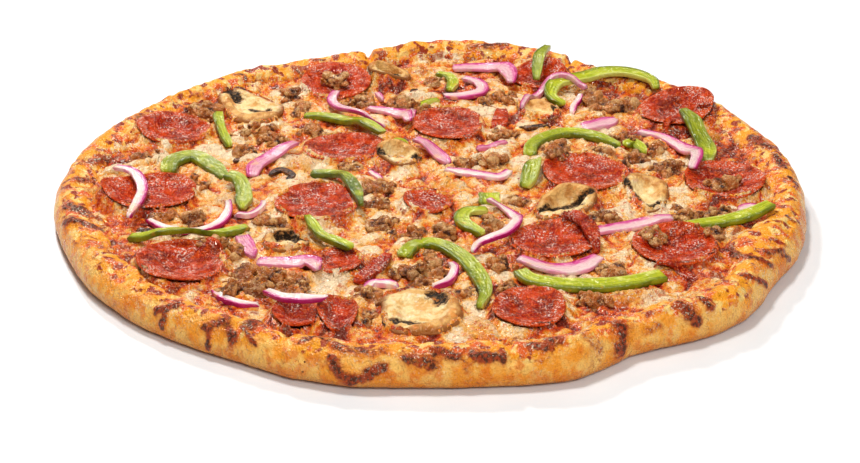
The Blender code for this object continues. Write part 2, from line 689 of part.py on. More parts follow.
def keep_main_shell(mesh):
    """Keep only the largest closed shell, which fills sealed hollows and drops loose scraps."""
    work = bmesh.new()
    work.from_mesh(mesh)
    bmesh.ops.remove_doubles(work, verts=work.verts, dist=0.00003)
    bmesh.ops.dissolve_degenerate(work, edges=work.edges, dist=0.00002)
    left = set(work.verts)
    shells = []
    while left:
        start = left.pop()
        shell, queue = {start}, [start]
        while queue:
            for edge in queue.pop().link_edges:
                for vert in edge.verts:
                    if vert in left:
                        left.discard(vert)
                        shell.add(vert)
                        queue.append(vert)
        shells.append(shell)
    shells.sort(key=len)
    for shell in shells[:-1]:
        bmesh.ops.delete(work, geom=list(shell), context="VERTS")
    bmesh.ops.dissolve_limit(
        work, angle_limit=math.radians(FLAT_ANGLE), verts=work.verts, edges=work.edges
    )
    bmesh.ops.triangulate(work, faces=work.faces)
    work.to_mesh(mesh)
    work.free()


def fuse(target, meshes, kind):
    """Fuse small lumps to a solid with one union and apply it."""
    lumps = bpy.data.collections.new("lumps_" + target.name)
    bpy.context.scene.collection.children.link(lumps)
    for mesh in meshes:
        add_object(mesh.name, kind, mesh, lumps)
    modifier = target.modifiers.new("Fuse", "BOOLEAN")
    modifier.operation = "UNION"
    modifier.operand_type = "COLLECTION"
    modifier.collection = lumps
    modifier.solver = "EXACT"
    bpy.context.view_layer.update()
    graph = bpy.context.evaluated_depsgraph_get()
    fused = bpy.data.meshes.new_from_object(target.evaluated_get(graph))
    target.modifiers.remove(modifier)
    for lump in list(lumps.objects):
        bpy.data.objects.remove(lump, do_unlink=True)
    bpy.data.collections.remove(lumps)
    keep_main_shell(fused)
    fused.materials.clear()
    fused.materials.append(material(kind))
    target.data = fused


def build_cutters(collection):
    """Make the two long wedges that leave the knife's grooves."""
    cutters = []
    for index, ((ax, ay), (bx, by)) in enumerate(CUTS):
        a, b = Vector((ax, ay)) * MM, Vector((bx, by)) * MM
        side = Vector((-(b - a).y, (b - a).x)).normalized()
        half = (CUT_TOP - CUT_BOTTOM) * CUT_SLOPE * 0.5 * MM
        points = []
        for end in (a, b):
            points.append((end.x, end.y, CUT_BOTTOM * MM))
            for sign in (-1, 1):
                place = end + side * half * sign
                points.append((place.x, place.y, CUT_TOP * MM))
        faces = [(0, 1, 2), (3, 5, 4), (0, 3, 4, 1), (0, 2, 5, 3), (1, 4, 5, 2)]
        name = "knife_%d" % (index + 1)
        cutter = bpy.data.objects.new(name, mesh_from(name, points, faces))
        cutter.hide_render = True
        cutter.display_type = "WIRE"
        collection.objects.link(cutter)
        cutters.append(cutter)
    return cutters


def groove(target, cutters):
    """Cut the knife's grooves into a solid."""
    for cutter in cutters:
        modifier = target.modifiers.new(cutter.name, "BOOLEAN")
        modifier.operation = "DIFFERENCE"
        modifier.solver = "EXACT"
        modifier.object = cutter
    bpy.context.view_layer.update()
    graph = bpy.context.evaluated_depsgraph_get()
    cut = bpy.data.meshes.new_from_object(target.evaluated_get(graph))
    target.modifiers.clear()
    keep_main_shell(cut)
    target.data = cut


def clear_scene():
    """Remove every object and collection of the scene."""
    for old in list(bpy.data.objects):
        bpy.data.objects.remove(old, do_unlink=True)
    for old in list(bpy.data.collections):
        bpy.data.collections.remove(old)


def new_collection(name):
    """Make a collection in the scene."""
    made = bpy.data.collections.new(name)
    bpy.context.scene.collection.children.link(made)
    return made


def place_small(objects, ground, rng):
    """Make every small lump and strip, sorted by the solid it is fused to."""
    names = list(objects)
    trees = {name: tree_of(objects[name].data) for name in names}
    fused = {}
    for index, (x, y, width) in enumerate(CRUMBLES):
        name = "crumble_%02d" % (index + 1)
        host = names[ground.at(x * MM, y * MM)[1]]
        mesh = crumble_mesh(name, x, y, width, ground, rng)
        hit = crossed(mesh, trees, host)
        if hit:
            print("skipped", name, (x, y, width), "on", host, "meets", hit)
            continue
        fused.setdefault(host, []).append(mesh)
    for name, entry in FUSED_STRIPS.items():
        mesh = sunk_strip_mesh(name, entry, ground)
        hit = crossed(mesh, trees, "cheese")
        if hit:
            print("skipped", name, "meets", hit)
            continue
        fused.setdefault("cheese", []).append(mesh)
    for index, entry in enumerate(BUBBLES):
        name = "bubble_%02d" % (index + 1)
        mesh = bubble_mesh(name, entry, ground, rng)
        hit = crossed(mesh, trees, "cheese")
        if hit:
            print("skipped", name, "meets", hit)
            continue
        fused.setdefault("cheese", []).append(mesh)
    return fused


def main():
    """Build the pizza."""
    clear_scene()
    rng = random.Random(SEED)
    pizza = new_collection("pizza")
    cutters = build_cutters(new_collection("cutters"))
    ground = Ground(0.2, 0.001)
    objects = {}
    objects["crust"] = build_crust(pizza)
    objects["cheese"] = build_cheese(pizza)
    ground.cover(objects["crust"].data, 0)
    ground.cover(objects["cheese"].data, 1)
    for name, entry in PEPPERONI.items():
        objects[name] = build_pepperoni(name, entry, ground, len(objects), pizza)
    for name, entry in MUSHROOMS.items():
        objects[name] = build_mushroom(name, entry, ground, len(objects), pizza)
    for table, kind, height in (
        (PEPPERS, "pepper", PEPPER_HEIGHT), (ONIONS, "onion", ONION_HEIGHT),
    ):
        for name, entry in table.items():
            objects[name] = build_strip(
                name, kind, entry, height, ground, len(objects), pizza
            )
    for host, meshes in place_small(objects, ground, rng).items():
        fuse(objects[host], meshes, host.split("_")[0])
    groove(objects["crust"], cutters)
    groove(objects["cheese"], cutters)
    for made in objects.values():
        made.data.shade_smooth()
        made.data.set_sharp_from_angle(angle=math.radians(40.0))


main()
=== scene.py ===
"""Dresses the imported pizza: fine crust, cheese and toppings over the solids, floor, light, camera.

Tables are in millimetres on the pizza's plane, and everything Blender gets is in metres. Heights
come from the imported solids, which each fine piece follows.
"""
from __future__ import annotations

import logging
import math
import random
from dataclasses import dataclass, field
from enum import Enum
from typing import Sequence, Union

import bpy
import numpy as np
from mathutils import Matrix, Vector, noise
from mathutils.bvhtree import BVHTree

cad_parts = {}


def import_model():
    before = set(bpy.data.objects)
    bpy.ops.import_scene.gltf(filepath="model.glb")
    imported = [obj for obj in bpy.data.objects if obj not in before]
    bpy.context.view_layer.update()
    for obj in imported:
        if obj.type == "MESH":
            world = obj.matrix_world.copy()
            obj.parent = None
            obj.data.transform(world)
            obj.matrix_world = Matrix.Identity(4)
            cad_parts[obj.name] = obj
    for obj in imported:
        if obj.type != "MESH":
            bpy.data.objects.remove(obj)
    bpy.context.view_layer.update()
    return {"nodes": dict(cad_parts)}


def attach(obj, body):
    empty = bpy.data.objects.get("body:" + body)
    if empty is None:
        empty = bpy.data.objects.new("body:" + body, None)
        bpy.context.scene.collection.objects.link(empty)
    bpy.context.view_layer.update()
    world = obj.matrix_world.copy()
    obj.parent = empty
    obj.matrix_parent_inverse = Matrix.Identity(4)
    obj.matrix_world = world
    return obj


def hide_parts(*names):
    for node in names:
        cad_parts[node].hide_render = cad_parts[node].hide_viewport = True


log = logging.getLogger("pizza")

Line = Sequence[Sequence[float]]
Colour = tuple[float, float, float, float]
Stops = tuple[tuple[float, Colour], ...]
Faces = list[tuple[int, ...]]
Masks = dict[str, np.ndarray]
Socket = bpy.types.NodeSocket
Value = Union[float, Colour, Socket]

MM = 0.001
SEED = 5
UP = Vector((0, 0, 1))
DOWN = Vector((0, 0, -1))
# Heights from which the solids' upper and lower surfaces are looked for.
SKY = 0.08
PIT = -0.02
# Middle height, thickness and tilt of a strip where its solid isn't met.
NO_STRIP = (0.013, 0.002, 0.0)
# Upper and lower height of a slice's middle, and of its rest where its solid isn't met.
SLICE_MIDDLE = (0.013, 0.012)
SLICE_NAMES = ("pepperoni", "mushroom")

# Round sausage slices: centre and two radii.
PEPPERONI = {
    "pepperoni_01": (-130, 63, 19, 17),
    "pepperoni_02": (-134, -12, 22, 17),
    "pepperoni_03": (-111, -85, 20, 21),
    "pepperoni_04": (-54, -21, 19.5, 21),
    "pepperoni_05": (-44, 43, 20, 17),
    "pepperoni_06": (-51, 125, 19, 20),
    "pepperoni_07": (8, 72, 18.5, 21),
    "pepperoni_08": (74, 13, 20.5, 21),
    "pepperoni_09": (125, 85, 19, 19),
    "pepperoni_10": (140, 2, 19, 21),
    "pepperoni_11": (109, -68, 19.5, 19),
    "pepperoni_12": (54, -62, 19, 17),
    "pepperoni_13": (41, -127, 15.5, 19),
    "pepperoni_14": (-58, -132, 9.5, 17),
    "pepperoni_15": (-40, -132, 8.5, 16),
    "pepperoni_16": (-41, -81, 10.5, 14),
    "pepperoni_17": (-2, -19, 11.5, 13),
    "pepperoni_18": (57, 135, 15, 16),
}

# Strips: width, how much of it the first and last ends keep, then the line they follow.
PEPPERS = {
    "pepper_01": (10, 0.8, 0.5, ((-128, 14), (-127, 26), (-118, 33), (-108, 22), (-100, 7))),
    "pepper_02": (8, 0.8, 0.4, ((-99, 3), (-92, -2), (-89, -13), (-89, -27))),
    "pepper_03": (5.5, 0.6, 0.6, ((-109, 82), (-108, 68), (-101, 46))),
    "pepper_04": (7, 0.6, 0.5, ((-66, 83), (-55, 83), (-41, 73), (-31, 60), (-24, 49))),
    "pepper_05": (6, 0.5, 0.7, ((2, 141), (8, 138), (11, 128), (9, 117))),
    "pepper_06": (6, 0.6, 0.6, ((63, 158), (58, 146), (56, 134), (55, 122))),
    "pepper_07": (
        8, 0.5, 0.6,
        ((117, 106), (115, 117), (104, 127), (90, 129), (77, 124), (66, 119), (62, 108), (68, 98)),
    ),
    "pepper_08": (8, 0.8, 0.5, ((48, 34), (50, 46), (58, 57), (70, 62), (83, 56), (93, 45))),
    "pepper_09": (9, 0.4, 0.8, ((127, 76), (132, 60), (136, 42), (134, 25))),
    "pepper_10": (8, 0.8, 0.7, ((50, 21), (48, 9), (44, -3))),
    "pepper_11": (7, 0.6, 0.6, ((26, -29), (16, -30), (14, -41), (23, -54))),
    "pepper_12": (
        8, 0.9, 0.4,
        ((-13, -76), (-8, -65), (2, -63), (13, -76), (20, -94), (23, -110), (20, -124)),
    ),
    "pepper_13": (9.5, 0.7, 1.0, ((38, -90), (44, -99), (60, -104), (82, -103), (102, -95))),
    "pepper_14": (8, 0.5, 0.8, ((114, -46), (130, -43), (148, -39), (158, -32))),
    "pepper_15": (6.5, 0.6, 0.7, ((-138, -59), (-125, -63), (-105, -58), (-84, -47))),
    "pepper_16": (5.5, 0.5, 0.8, ((-58, -43), (-50, -60), (-36, -74))),
    "pepper_17": (6, 0.8, 0.4, ((-59, 12), (-49, 11), (-41, 0), (-36, -15), (-33, -31))),
}
ONIONS = {
    "onion_01": (5.5, 0.7, 0.4, ((-153, 7), (-143, 2), (-137, -12), (-137, -28), (-140, -42))),
    "onion_02": (
        4.5, 0.6, 0.5, ((-132, -38), (-122, -47), (-109, -50), (-99, -43), (-95, -32), (-96, -20)),
    ),
    "onion_03": (8, 0.7, 0.6, ((-87, 10), (-86, 23), (-78, 34), (-67, 44))),
    "onion_04": (5.5, 0.7, 0.5, ((-50, 109), (-52, 97), (-44, 84), (-33, 74), (-24, 68))),
    "onion_05": (6, 0.5, 0.7, ((-34, 95), (-22, 90), (-14, 80), (-12, 69))),
    "onion_06": (8, 0.7, 0.5, ((-9, 46), (1, 38), (8, 26))),
    "onion_07": (6, 0.6, 0.6, ((6, 18), (18, 14), (32, 10), (38, 17))),
    "onion_08": (9, 0.7, 0.5, ((11, 149), (25, 150), (37, 144), (41, 134), (42, 121))),
    "onion_09": (7, 0.5, 0.7, ((16, 136), (25, 129), (26, 117), (17, 110), (6, 109))),
    "onion_10": (6.5, 0.6, 0.7, ((104, 64), (116, 57), (125, 41), (129, 24), (125, 7))),
    "onion_11": (
        5, 0.8, 0.5, ((26, -23), (36, -32), (39, -46), (33, -59), (22, -66), (18, -76)),
    ),
    "onion_12": (10, 0.6, 0.6, ((38, -82), (50, -88), (64, -87), (75, -76))),
    "onion_13": (8, 0.8, 0.7, ((74, -51), (87, -46), (100, -42), (111, -41))),
    "onion_14": (8, 0.8, 0.4, ((-78, -81), (-66, -82), (-54, -85), (-50, -95))),
    "onion_15": (5, 0.6, 0.5, ((-72, -117), (-65, -125), (-55, -130), (-44, -130))),
}
# Small strips that the cheese solid carries: kind, width, end shares, height, line.
SMALL_STRIPS = {
    "onion_16": (3, 0.7, 0.6, 2.2, ((-92, -31), (-85, -31), (-80, -23), (-80, -14))),
    "onion_17": (3.5, 0.7, 0.6, 2.4, ((-9, 99), (-10, 89), (-10, 81))),
    "onion_18": (4, 0.7, 0.6, 2.4, ((22, 44), (29, 48), (38, 52))),
    "onion_19": (3.6, 0.7, 0.6, 2.2, ((78, 108), (74, 99), (72, 88))),
    "onion_20": (10, 0.7, 0.3, 2.6, ((75, 70), (85, 74), (95, 80))),
    "onion_21": (5, 0.7, 0.6, 2.4, ((143, -27), (149, -24), (154, -27))),
    "onion_22": (7, 1.0, 0.3, 2.8, ((-87, -55), (-84, -63), (-80, -77))),
    "onion_23": (4, 0.7, 0.6, 2.4, ((-95, -106), (-92, -113), (-83, -120), (-74, -122))),
    "onion_24": (4.5, 0.6, 0.6, 2.4, ((-29, -108), (-26, -101), (-19, -101), (-15, -104))),
    "onion_25": (4, 0.7, 0.6, 2.4, ((8, -80), (10, -88), (7, -98), (0, -104))),
    "onion_26": (3, 0.7, 0.6, 2.2, ((-31, 18), (-27, 12), (-24, 7))),
    "onion_27": (3, 0.7, 0.6, 2.2, ((-30, 119), (-26, 107))),
    "pepper_18": (6, 0.7, 0.6, 2.6, ((-21, 47), (-16, 48), (-11, 46))),
    "pepper_19": (6, 0.7, 0.6, 2.6, ((96, 46), (101, 51), (105, 39))),
    "pepper_20": (10, 1.0, 1.0, 2.6, ((27, -8), (27, -20))),
    "pepper_21": (3.5, 0.7, 0.6, 2.4, ((4, 106), (-3, 103), (-8, 97))),
    "pepperoni_19": (8, 0.6, 0.6, 2.4, ((36, 95), (35, 82), (33, 70))),
    "pepperoni_20": (7, 0.7, 0.5, 2.4, ((-33, -100), (-26, -87), (-19, -74))),
}
# Strips and scraps that lie over the toppings, in the same form.
TOP_STRIPS = {
    "onion_28": (
        3.6, 0.7, 0.6, 2.2,
        ((46, 90), (51, 106), (59, 118), (68, 123), (75, 118), (81, 111)),
    ),
    "pepperoni_21": (7, 0.5, 0.5, 2.4, ((54, -43), (62, -46), (70, -56), (74, -71))),
    "pepperoni_22": (5, 0.6, 0.5, 1.8, ((98, -84), (108, -88), (116, -97))),
    "pepperoni_23": (4, 0.7, 0.6, 1.6, ((117, 65), (123, 71))),
    "pepperoni_24": (4, 0.7, 0.6, 1.6, ((135, 80), (142, 79))),
    "scrap_01": (4, 0.5, 0.5, 1.6, ((-79, 14), (-74, 20), (-68, 14), (-70, 8))),
    "scrap_02": (3.5, 0.5, 0.5, 1.4, ((-98, 31), (-92, 34))),
    "scrap_03": (4, 0.5, 0.5, 1.4, ((-136, -46), (-128, -48))),
    "scrap_04": (3.5, 0.5, 0.5, 1.4, ((-13, 120), (-5, 121))),
    "scrap_05": (3.5, 0.5, 0.5, 1.4, ((44, 74), (53, 71), (60, 74))),
    "scrap_06": (3, 0.5, 0.5, 1.4, ((93, 135), (98, 138))),
}

# Mushroom slices: the outline of each, its dark gills and its cap, as strokes of a width.
MUSHROOMS = {
    "mushroom_01": (
        ((-110, 113), (-102, 117), (-95, 111), (-86, 103), (-78, 96), (-77, 86), (-81, 77),
         (-92, 73), (-103, 78), (-108, 90), (-112, 102)),
        ((6, ((-107, 112), (-102, 104))), (3.5, ((-94, 93), (-84, 88)))),
        (9, ((-108, 98), (-104, 84), (-92, 77), (-81, 81))),
    ),
    "mushroom_02": (
        ((-34, 137), (-27, 142), (-16, 140), (-11, 133), (-15, 127), (-24, 125), (-33, 130)),
        ((5.5, ((-26, 130), (-20, 129))),),
        (6, ((-32, 134), (-26, 139), (-16, 138), (-13, 132))),
    ),
    "mushroom_03": (
        ((-28, 33), (-25, 40), (-16, 43), (-9, 40), (-5, 33), (-8, 25), (-17, 20), (-25, 25)),
        ((5, ((-26, 30), (-21, 28))), (4, ((-12, 29), (-6, 31)))),
        (7, ((-27, 35), (-22, 40), (-14, 41), (-7, 36))),
    ),
    "mushroom_04": (
        ((47, -31), (51, -19), (60, -10), (69, -8), (77, -14), (77, -23), (70, -31), (60, -37),
         (51, -39)),
        ((4, ((74, -16), (64, -23), (56, -28), (48, -32))), (2.5, ((70, -25), (62, -31)))),
        (9, ((53, -22), (61, -13), (70, -11), (76, -18))),
    ),
    "mushroom_05": (
        ((91, -2), (96, 5), (105, 7), (112, 1), (112, -12), (108, -26), (100, -30), (95, -20),
         (92, -10)),
        ((2.6, ((92, -1), (94, -12), (97, -18))), (4.5, ((97, -22), (102, -26), (108, -22)))),
        (9, ((98, 2), (106, 3), (110, -4), (109, -13))),
    ),
    "mushroom_06": (
        ((44, 99), (50, 104), (58, 103), (65, 94), (66, 85), (60, 78), (52, 81), (45, 89)),
        ((4, ((51, 84), (59, 81))), (3.5, ((63, 92), (65, 85)))),
        (9, ((48, 97), (56, 100), (62, 94))),
    ),
    "mushroom_07": (
        ((-20, -112), (-10, -107), (0, -108), (9, -113), (13, -124), (12, -137), (4, -147),
         (-8, -149), (-19, -144), (-22, -128)),
        ((7, ((1, -114), (4, -118))), (5, ((-19, -139), (-12, -138), (-5, -140)))),
        (6.5, ((7, -114), (11, -124), (10, -136), (3, -144), (-8, -147))),
    ),
    "mushroom_08": (
        ((-76, -56), (-70, -51), (-61, -52), (-56, -58), (-57, -66), (-64, -71), (-73, -70),
         (-77, -63)),
        ((5, ((-70, -57), (-63, -56), (-58, -60))), (3, ((-72, -66), (-64, -65)))),
        (6, ((-75, -61), (-73, -55), (-66, -53))),
    ),
}

# Sausage crumbles: centre and width.
CRUMBLES = (
    (-117, 88, 16), (-142, 30, 12), (-96, 63, 12), (-86, 64, 11), (-80, 56, 11), (-94, 43, 11),
    (-74, 111, 12), (-68, 95, 13), (-59, 66, 14), (-51, 126, 12), (-36, 103, 13), (-17, 101, 15),
    (-2, 95, 9), (0, 131, 9), (36, 113, 11), (28, 104, 9), (38, 107, 10), (83, 108, 15),
    (99, 96, 16), (86, 94, 10), (96, 57, 10), (62, 42, 13), (85, 39, 12), (100, 31, 12),
    (112, 44, 10), (115, 19, 15), (138, -2, 13), (117, -32, 14), (131, -32, 11), (83, -34, 13),
    (99, -60, 12), (81, -89, 13), (69, -118, 12), (128, -55, 12), (30, -83, 13), (26, -41, 12),
    (39, -21, 12), (60, 29, 9), (31, 28, 14), (16, 29, 9), (36, 60, 11), (-42, 20, 11),
    (-26, -4, 14), (-26, -22, 11), (-24, -43, 14), (-8, -52, 13), (5, -50, 12), (-74, -41, 13),
    (-111, -38, 14), (-123, -34, 10), (-98, -71, 12), (-87, -73, 12), (-82, -92, 13),
    (-70, -95, 13), (-60, -98, 11), (-87, -107, 13), (-75, -109, 13), (-63, -108, 11),
    (-28, -114, 14), (-27, -130, 9), (0, -79, 12), (-9, -91, 13), (3, -92, 11), (-5, -101, 9),
    (13, -110, 9), (33, -105, 10), (-115, 0, 10),
)

# Charred and browned marks on the crust: width, strength, then the line they follow.
CHAR_MARKS = (
    (3, 1.0, ((-117, -125, 12), (-108, -127, 16))), (3, 1.0, ((-112, -127, 14), (-115, -130, 7))),
    (4, 0.9, ((-95, -140, 13), (-87, -141, 15), (-82, -149, 12))),
    (2.5, 1.0, ((-93, -142, 12), (-94, -144, 5))), (3.3, 1.0, ((-84, -146, 14), (-83, -149, 10))),
    (4.5, 1.0, ((-79, -128, 12), (-73, -134, 14), (-76, -146, 16))),
    (1.8, 1.0, ((-79, -146, 15), (-73, -155, 12))), (3.5, 0.9, ((-54, -159, 16), (-49, -157, 16))),
    (1.8, 0.6, ((-47, -164, 15), (-45, -169, 10))),
    (4, 1.0, ((-41, -168, 14), (-39, -170, 9), (-34, -172, 5), (-28, -173, 7), (-20, -171, 11))),
    (4, 0.8, ((-45, -157, 16), (-38, -164, 16), (-24, -167, 15))),
    (2.5, 0.8, ((-21, -166, 16), (-18, -168, 15))), (5, 0.9, ((-10, -169, 14), (0, -170, 12))),
    (4, 0.9, ((2, -167, 16), (11, -169, 14))), (3, 0.7, ((14, -168, 15), (14, -172, 9))),
    (4, 1.0, ((17, -168, 15), (28, -169, 14))), (4, 1.0, ((41, -163, 17), (46, -164, 16))),
    (4, 0.9, ((47, -161, 17), (52, -161, 17))), (4.5, 0.7, ((62, -156, 18), (68, -158, 12))),
    (6, 1.0, ((79, -145, 15), (78, -151, 8))), (3, 0.8, ((90, -143, 12), (93, -142, 12))),
    (2.4, 0.7, ((94, -139, 13), (96, -139, 12))), (4.5, 1.0, ((105, -130, 16), (112, -132, 11))),
    (4, 1.0, ((115, -123, 17), (118, -126, 14))),
    (2.6, 1.0, ((135, -102, 17), (141, -101, 15), (146, -97, 10))),
    (3.4, 1.0, ((134, -69, 13), (135, -78, 14), (140, -85, 17), (150, -85, 13))),
    (3, 0.9, ((148, -78, 16), (154, -74, 14), (161, -71, 9))),
    (2.4, 0.8, ((120, -83, 12), (123, -82, 12))),
    (2, 0.9, ((-106, 129, 17), (-100, 129, 17), (-98, 124, 12))),
    (3.7, 0.9, ((-74, 141, 16), (-70, 140, 14))), (1.6, 0.9, ((-65, 149, 18), (-58, 149, 18))),
    (3.7, 0.7, ((-124, 106, 16), (-115, 108, 12))), (3.4, 0.7, ((-97, 126, 14), (-90, 131, 14))),
    (4.2, 0.8, ((-150, 75, 17), (-143, 77, 15))), (4.2, 0.8, ((-30, 159, 18), (-28, 158, 18))),
    (2.2, 0.8, ((-11, 164, 18), (-10, 165, 18))), (1.8, 0.8, ((-1, 168, 18), (0, 168, 18))),
    (1.7, 0.7, ((10, 170, 19), (11, 170, 19))), (3.4, 0.8, ((20, 169, 18), (26, 169, 18))),
    (2.4, 1.0, ((28, 169, 18), (41, 171, 19))), (3.3, 0.9, ((30, 167, 18), (33, 167, 18))),
    (1.5, 1.0, ((93, 129, 16), (97, 129, 17))), (1.5, 1.0, ((84, 141, 18), (86, 141, 18))),
    (5, 0.9, ((-168, 21, 16), (-164, 22, 15), (-156, 35, 12))),
    (4, 0.9, ((-170, 1, 16), (-159, 6, 12))),
    (4.6, 1.0, ((-171, -28, 15), (-165, -31, 15), (-154, -34, 12))),
    (4.6, 1.0, ((-169, -42, 13), (-160, -46, 15), (-149, -49, 12))),
    (1.8, 0.7, ((-149, -87, 14), (-141, -85, 15))), (3.4, 0.6, ((-157, -65, 15), (-147, -68, 14))),
    (4, 1.0, ((159, 49, 16), (166, 34, 17))), (3.2, 1.0, ((167, 25, 17), (170, 12, 17))),
    (2.5, 1.0, ((171, 1, 17), (173, -6, 15))), (1.8, 0.9, ((163, -41, 17), (167, -45, 15))),
    (5, 0.6, ((149, 55, 12), (154, 47, 13))), (2.6, 0.9, ((133, -66, 13), (138, -83, 16))),
    (2.8, 0.9, ((154, -73, 14), (157, -71, 13))), (4, 0.7, ((128, 117, 16), (136, 108, 16))),
    (3, 0.6, ((60, 152, 17), (70, 149, 17))), (3, 0.7, ((110, 128, 17), (118, 124, 17))),
)

# Swellings of the cheese: middle (x, y), length, width, height, turn in degrees.
SWELLINGS = (
    (-64, 25, 17, 15, 2.4, 20), (8, 3, 18, 12, 2.2, 0), (-9, 147, 20, 12, 2.2, 0),
    (-124, 8, 30, 16, 1.6, 160), (142, 60, 10, 8, 1.8, 70), (-107, -25, 8, 10, 1.6, 0),
    (84, -14, 14, 10, 1.8, 60), (60, 70, 14, 9, 1.8, 0), (-60, 5, 12, 7, 1.6, 0),
    (146, -61, 26, 24, 3.4, 30), (87, -114, 26, 12, 3.6, 18), (20, -142, 16, 24, 2.6, 0),
    (67, -148, 18, 11, 2.4, 20), (-52, -92, 12, 9, 2.0, 40), (-34, -120, 12, 16, 1.8, 20),
    (-97, -15, 12, 10, 1.8, 0), (64, -84, 9, 9, 1.6, 0), (-20, 60, 12, 10, 1.6, 30),
)
# Raised cords of cheese: width, height, line.
CORDS = (
    (8, 2.6, ((-160, 17), (-150, 20), (-140, 22), (-136, 35), (-133, 47))),
    (5, 1.6, ((-93, 32), (-84, 36), (-76, 46))), (4, 1.4, ((20, 38), (29, 41), (37, 38))),
    (4, 1.5, ((96, -6), (90, -18), (92, -30))), (5, 1.5, ((-16, 110), (-8, 114), (4, 112))),
    (4, 1.4, ((-70, 70), (-78, 74), (-86, 72))), (4, 1.5, ((52, -112), (60, -120), (58, -132))),
)
# The two cuts, from edge to edge.
CUTS = (((-74, -182), (90, 186)), ((36, -182), (-40, 186)))
# Patches of the cheese: tone (1 cream, -1 sauce), strength, centre, length, width, turn.
PATCHES = (
    (1, 0.7, -62, 8, 34, 16, 0), (1, 0.8, -74, 30, 20, 14, 0), (1, 0.8, 40, 30, 30, 14, 20),
    (1, 0.8, 92, -8, 22, 14, 60), (1, 0.9, 78, 72, 26, 18, 10), (1, 0.7, -100, 56, 20, 16, 0),
    (1, 0.7, -112, 40, 30, 14, 20), (1, 0.8, -96, -12, 20, 16, 20), (1, 0.9, -44, -104, 18, 26, 40),
    (1, 0.8, 46, -40, 30, 12, 30), (1, 0.7, -30, -66, 20, 12, 0), (1, 0.8, 16, -130, 16, 26, 0),
    (1, 0.7, 104, 26, 16, 12, 0), (1, 0.7, -66, 118, 34, 12, 10), (1, 0.6, 28, 92, 24, 14, 0),
    (1, 0.8, -122, -50, 30, 10, 0), (1, 0.7, 64, -96, 22, 10, 0), (1, 0.8, 118, -20, 20, 12, 20),
    (-1, 0.8, -10, 44, 16, 12, 20), (-1, 0.9, 10, -6, 26, 12, 0), (-1, 0.8, 30, -68, 20, 14, 0),
    (-1, 0.9, 38, 84, 14, 20, 0), (-1, 0.7, -120, 100, 24, 14, 40), (-1, 0.9, -30, -92, 14, 22, 30),
    (-1, 0.9, 120, 68, 26, 16, 20), (-1, 0.8, -142, 40, 16, 20, 0), (-1, 0.8, -30, 20, 22, 12, 20),
    (-1, 0.7, 112, -92, 30, 16, 20), (-1, 0.8, -138, -70, 16, 28, 30),
    (-1, 0.7, -90, -124, 30, 12, 150),
    (-1, 0.8, -8, -156, 36, 10, 0), (-1, 0.8, 138, 30, 14, 26, 0), (-1, 0.8, 60, 122, 20, 12, 0),
    (-1, 0.7, -76, 0, 12, 18, 0), (-1, 0.8, -20, 120, 20, 10, 20), (-1, 0.8, 100, 112, 30, 10, 150),
    (-1, 0.7, 60, -140, 26, 10, 20), (-1, 0.8, 4, 118, 16, 10, 0), (-1, 0.7, 130, -20, 16, 10, 0),
)


# Onions whose magenta skin is on the right of their line, and how pink each body is.
SKIN_RIGHT = ("onion_02", "onion_04", "onion_15", "onion_23")
PINK = {
    "onion_03": 0.85, "onion_04": 0.5, "onion_05": 0.4, "onion_06": 0.75, "onion_08": 0.6,
    "onion_13": 0.4, "onion_14": 0.6, "onion_12": 0.35, "onion_18": 1.0, "onion_28": 0.6,
    "onion_20": 0.6, "onion_22": 1.0, "onion_17": 0.5, "onion_27": 0.6, "onion_21": 0.3,
    "onion_10": 0.25, "onion_09": 0.3,
}
# How dark the skin of some peppers is.
DARK = {
    "pepper_01": 0.55, "pepper_02": 0.3, "pepper_06": 0.5, "pepper_08": 0.35, "pepper_09": 0.7,
    "pepper_10": 0.3, "pepper_12": 0.45, "pepper_17": 1.0, "pepper_04": 0.2, "pepper_15": 0.1,
}


class Detail(Enum):
    """How coarse the fine meshes are."""

    FULL = 1.0
    QUICK = 2.0


class Kind(Enum):
    """What a strip is of, as its name begins."""

    PEPPER = "pepper"
    ONION = "onion"
    PEPPERONI = "pepperoni"
    SCRAP = "scrap"

    @classmethod
    def of(cls, name: str) -> Kind:
        """Return the kind that a strip's name begins with."""
        return cls(name.split("_")[0])


def srgb(red: float, green: float, blue: float) -> Colour:
    """Turn display values into a linear colour.

    Args:
        red: The red value, from 0 to 255.
        green: The green value.
        blue: The blue value.

    Returns:
        The linear colour, with an alpha of 1.
    """
    shares = [value / 255.0 for value in (red, green, blue)]
    linear = [s / 12.92 if s <= 0.04045 else ((s + 0.055) / 1.055) ** 2.4 for s in shares]
    return (linear[0], linear[1], linear[2], 1.0)


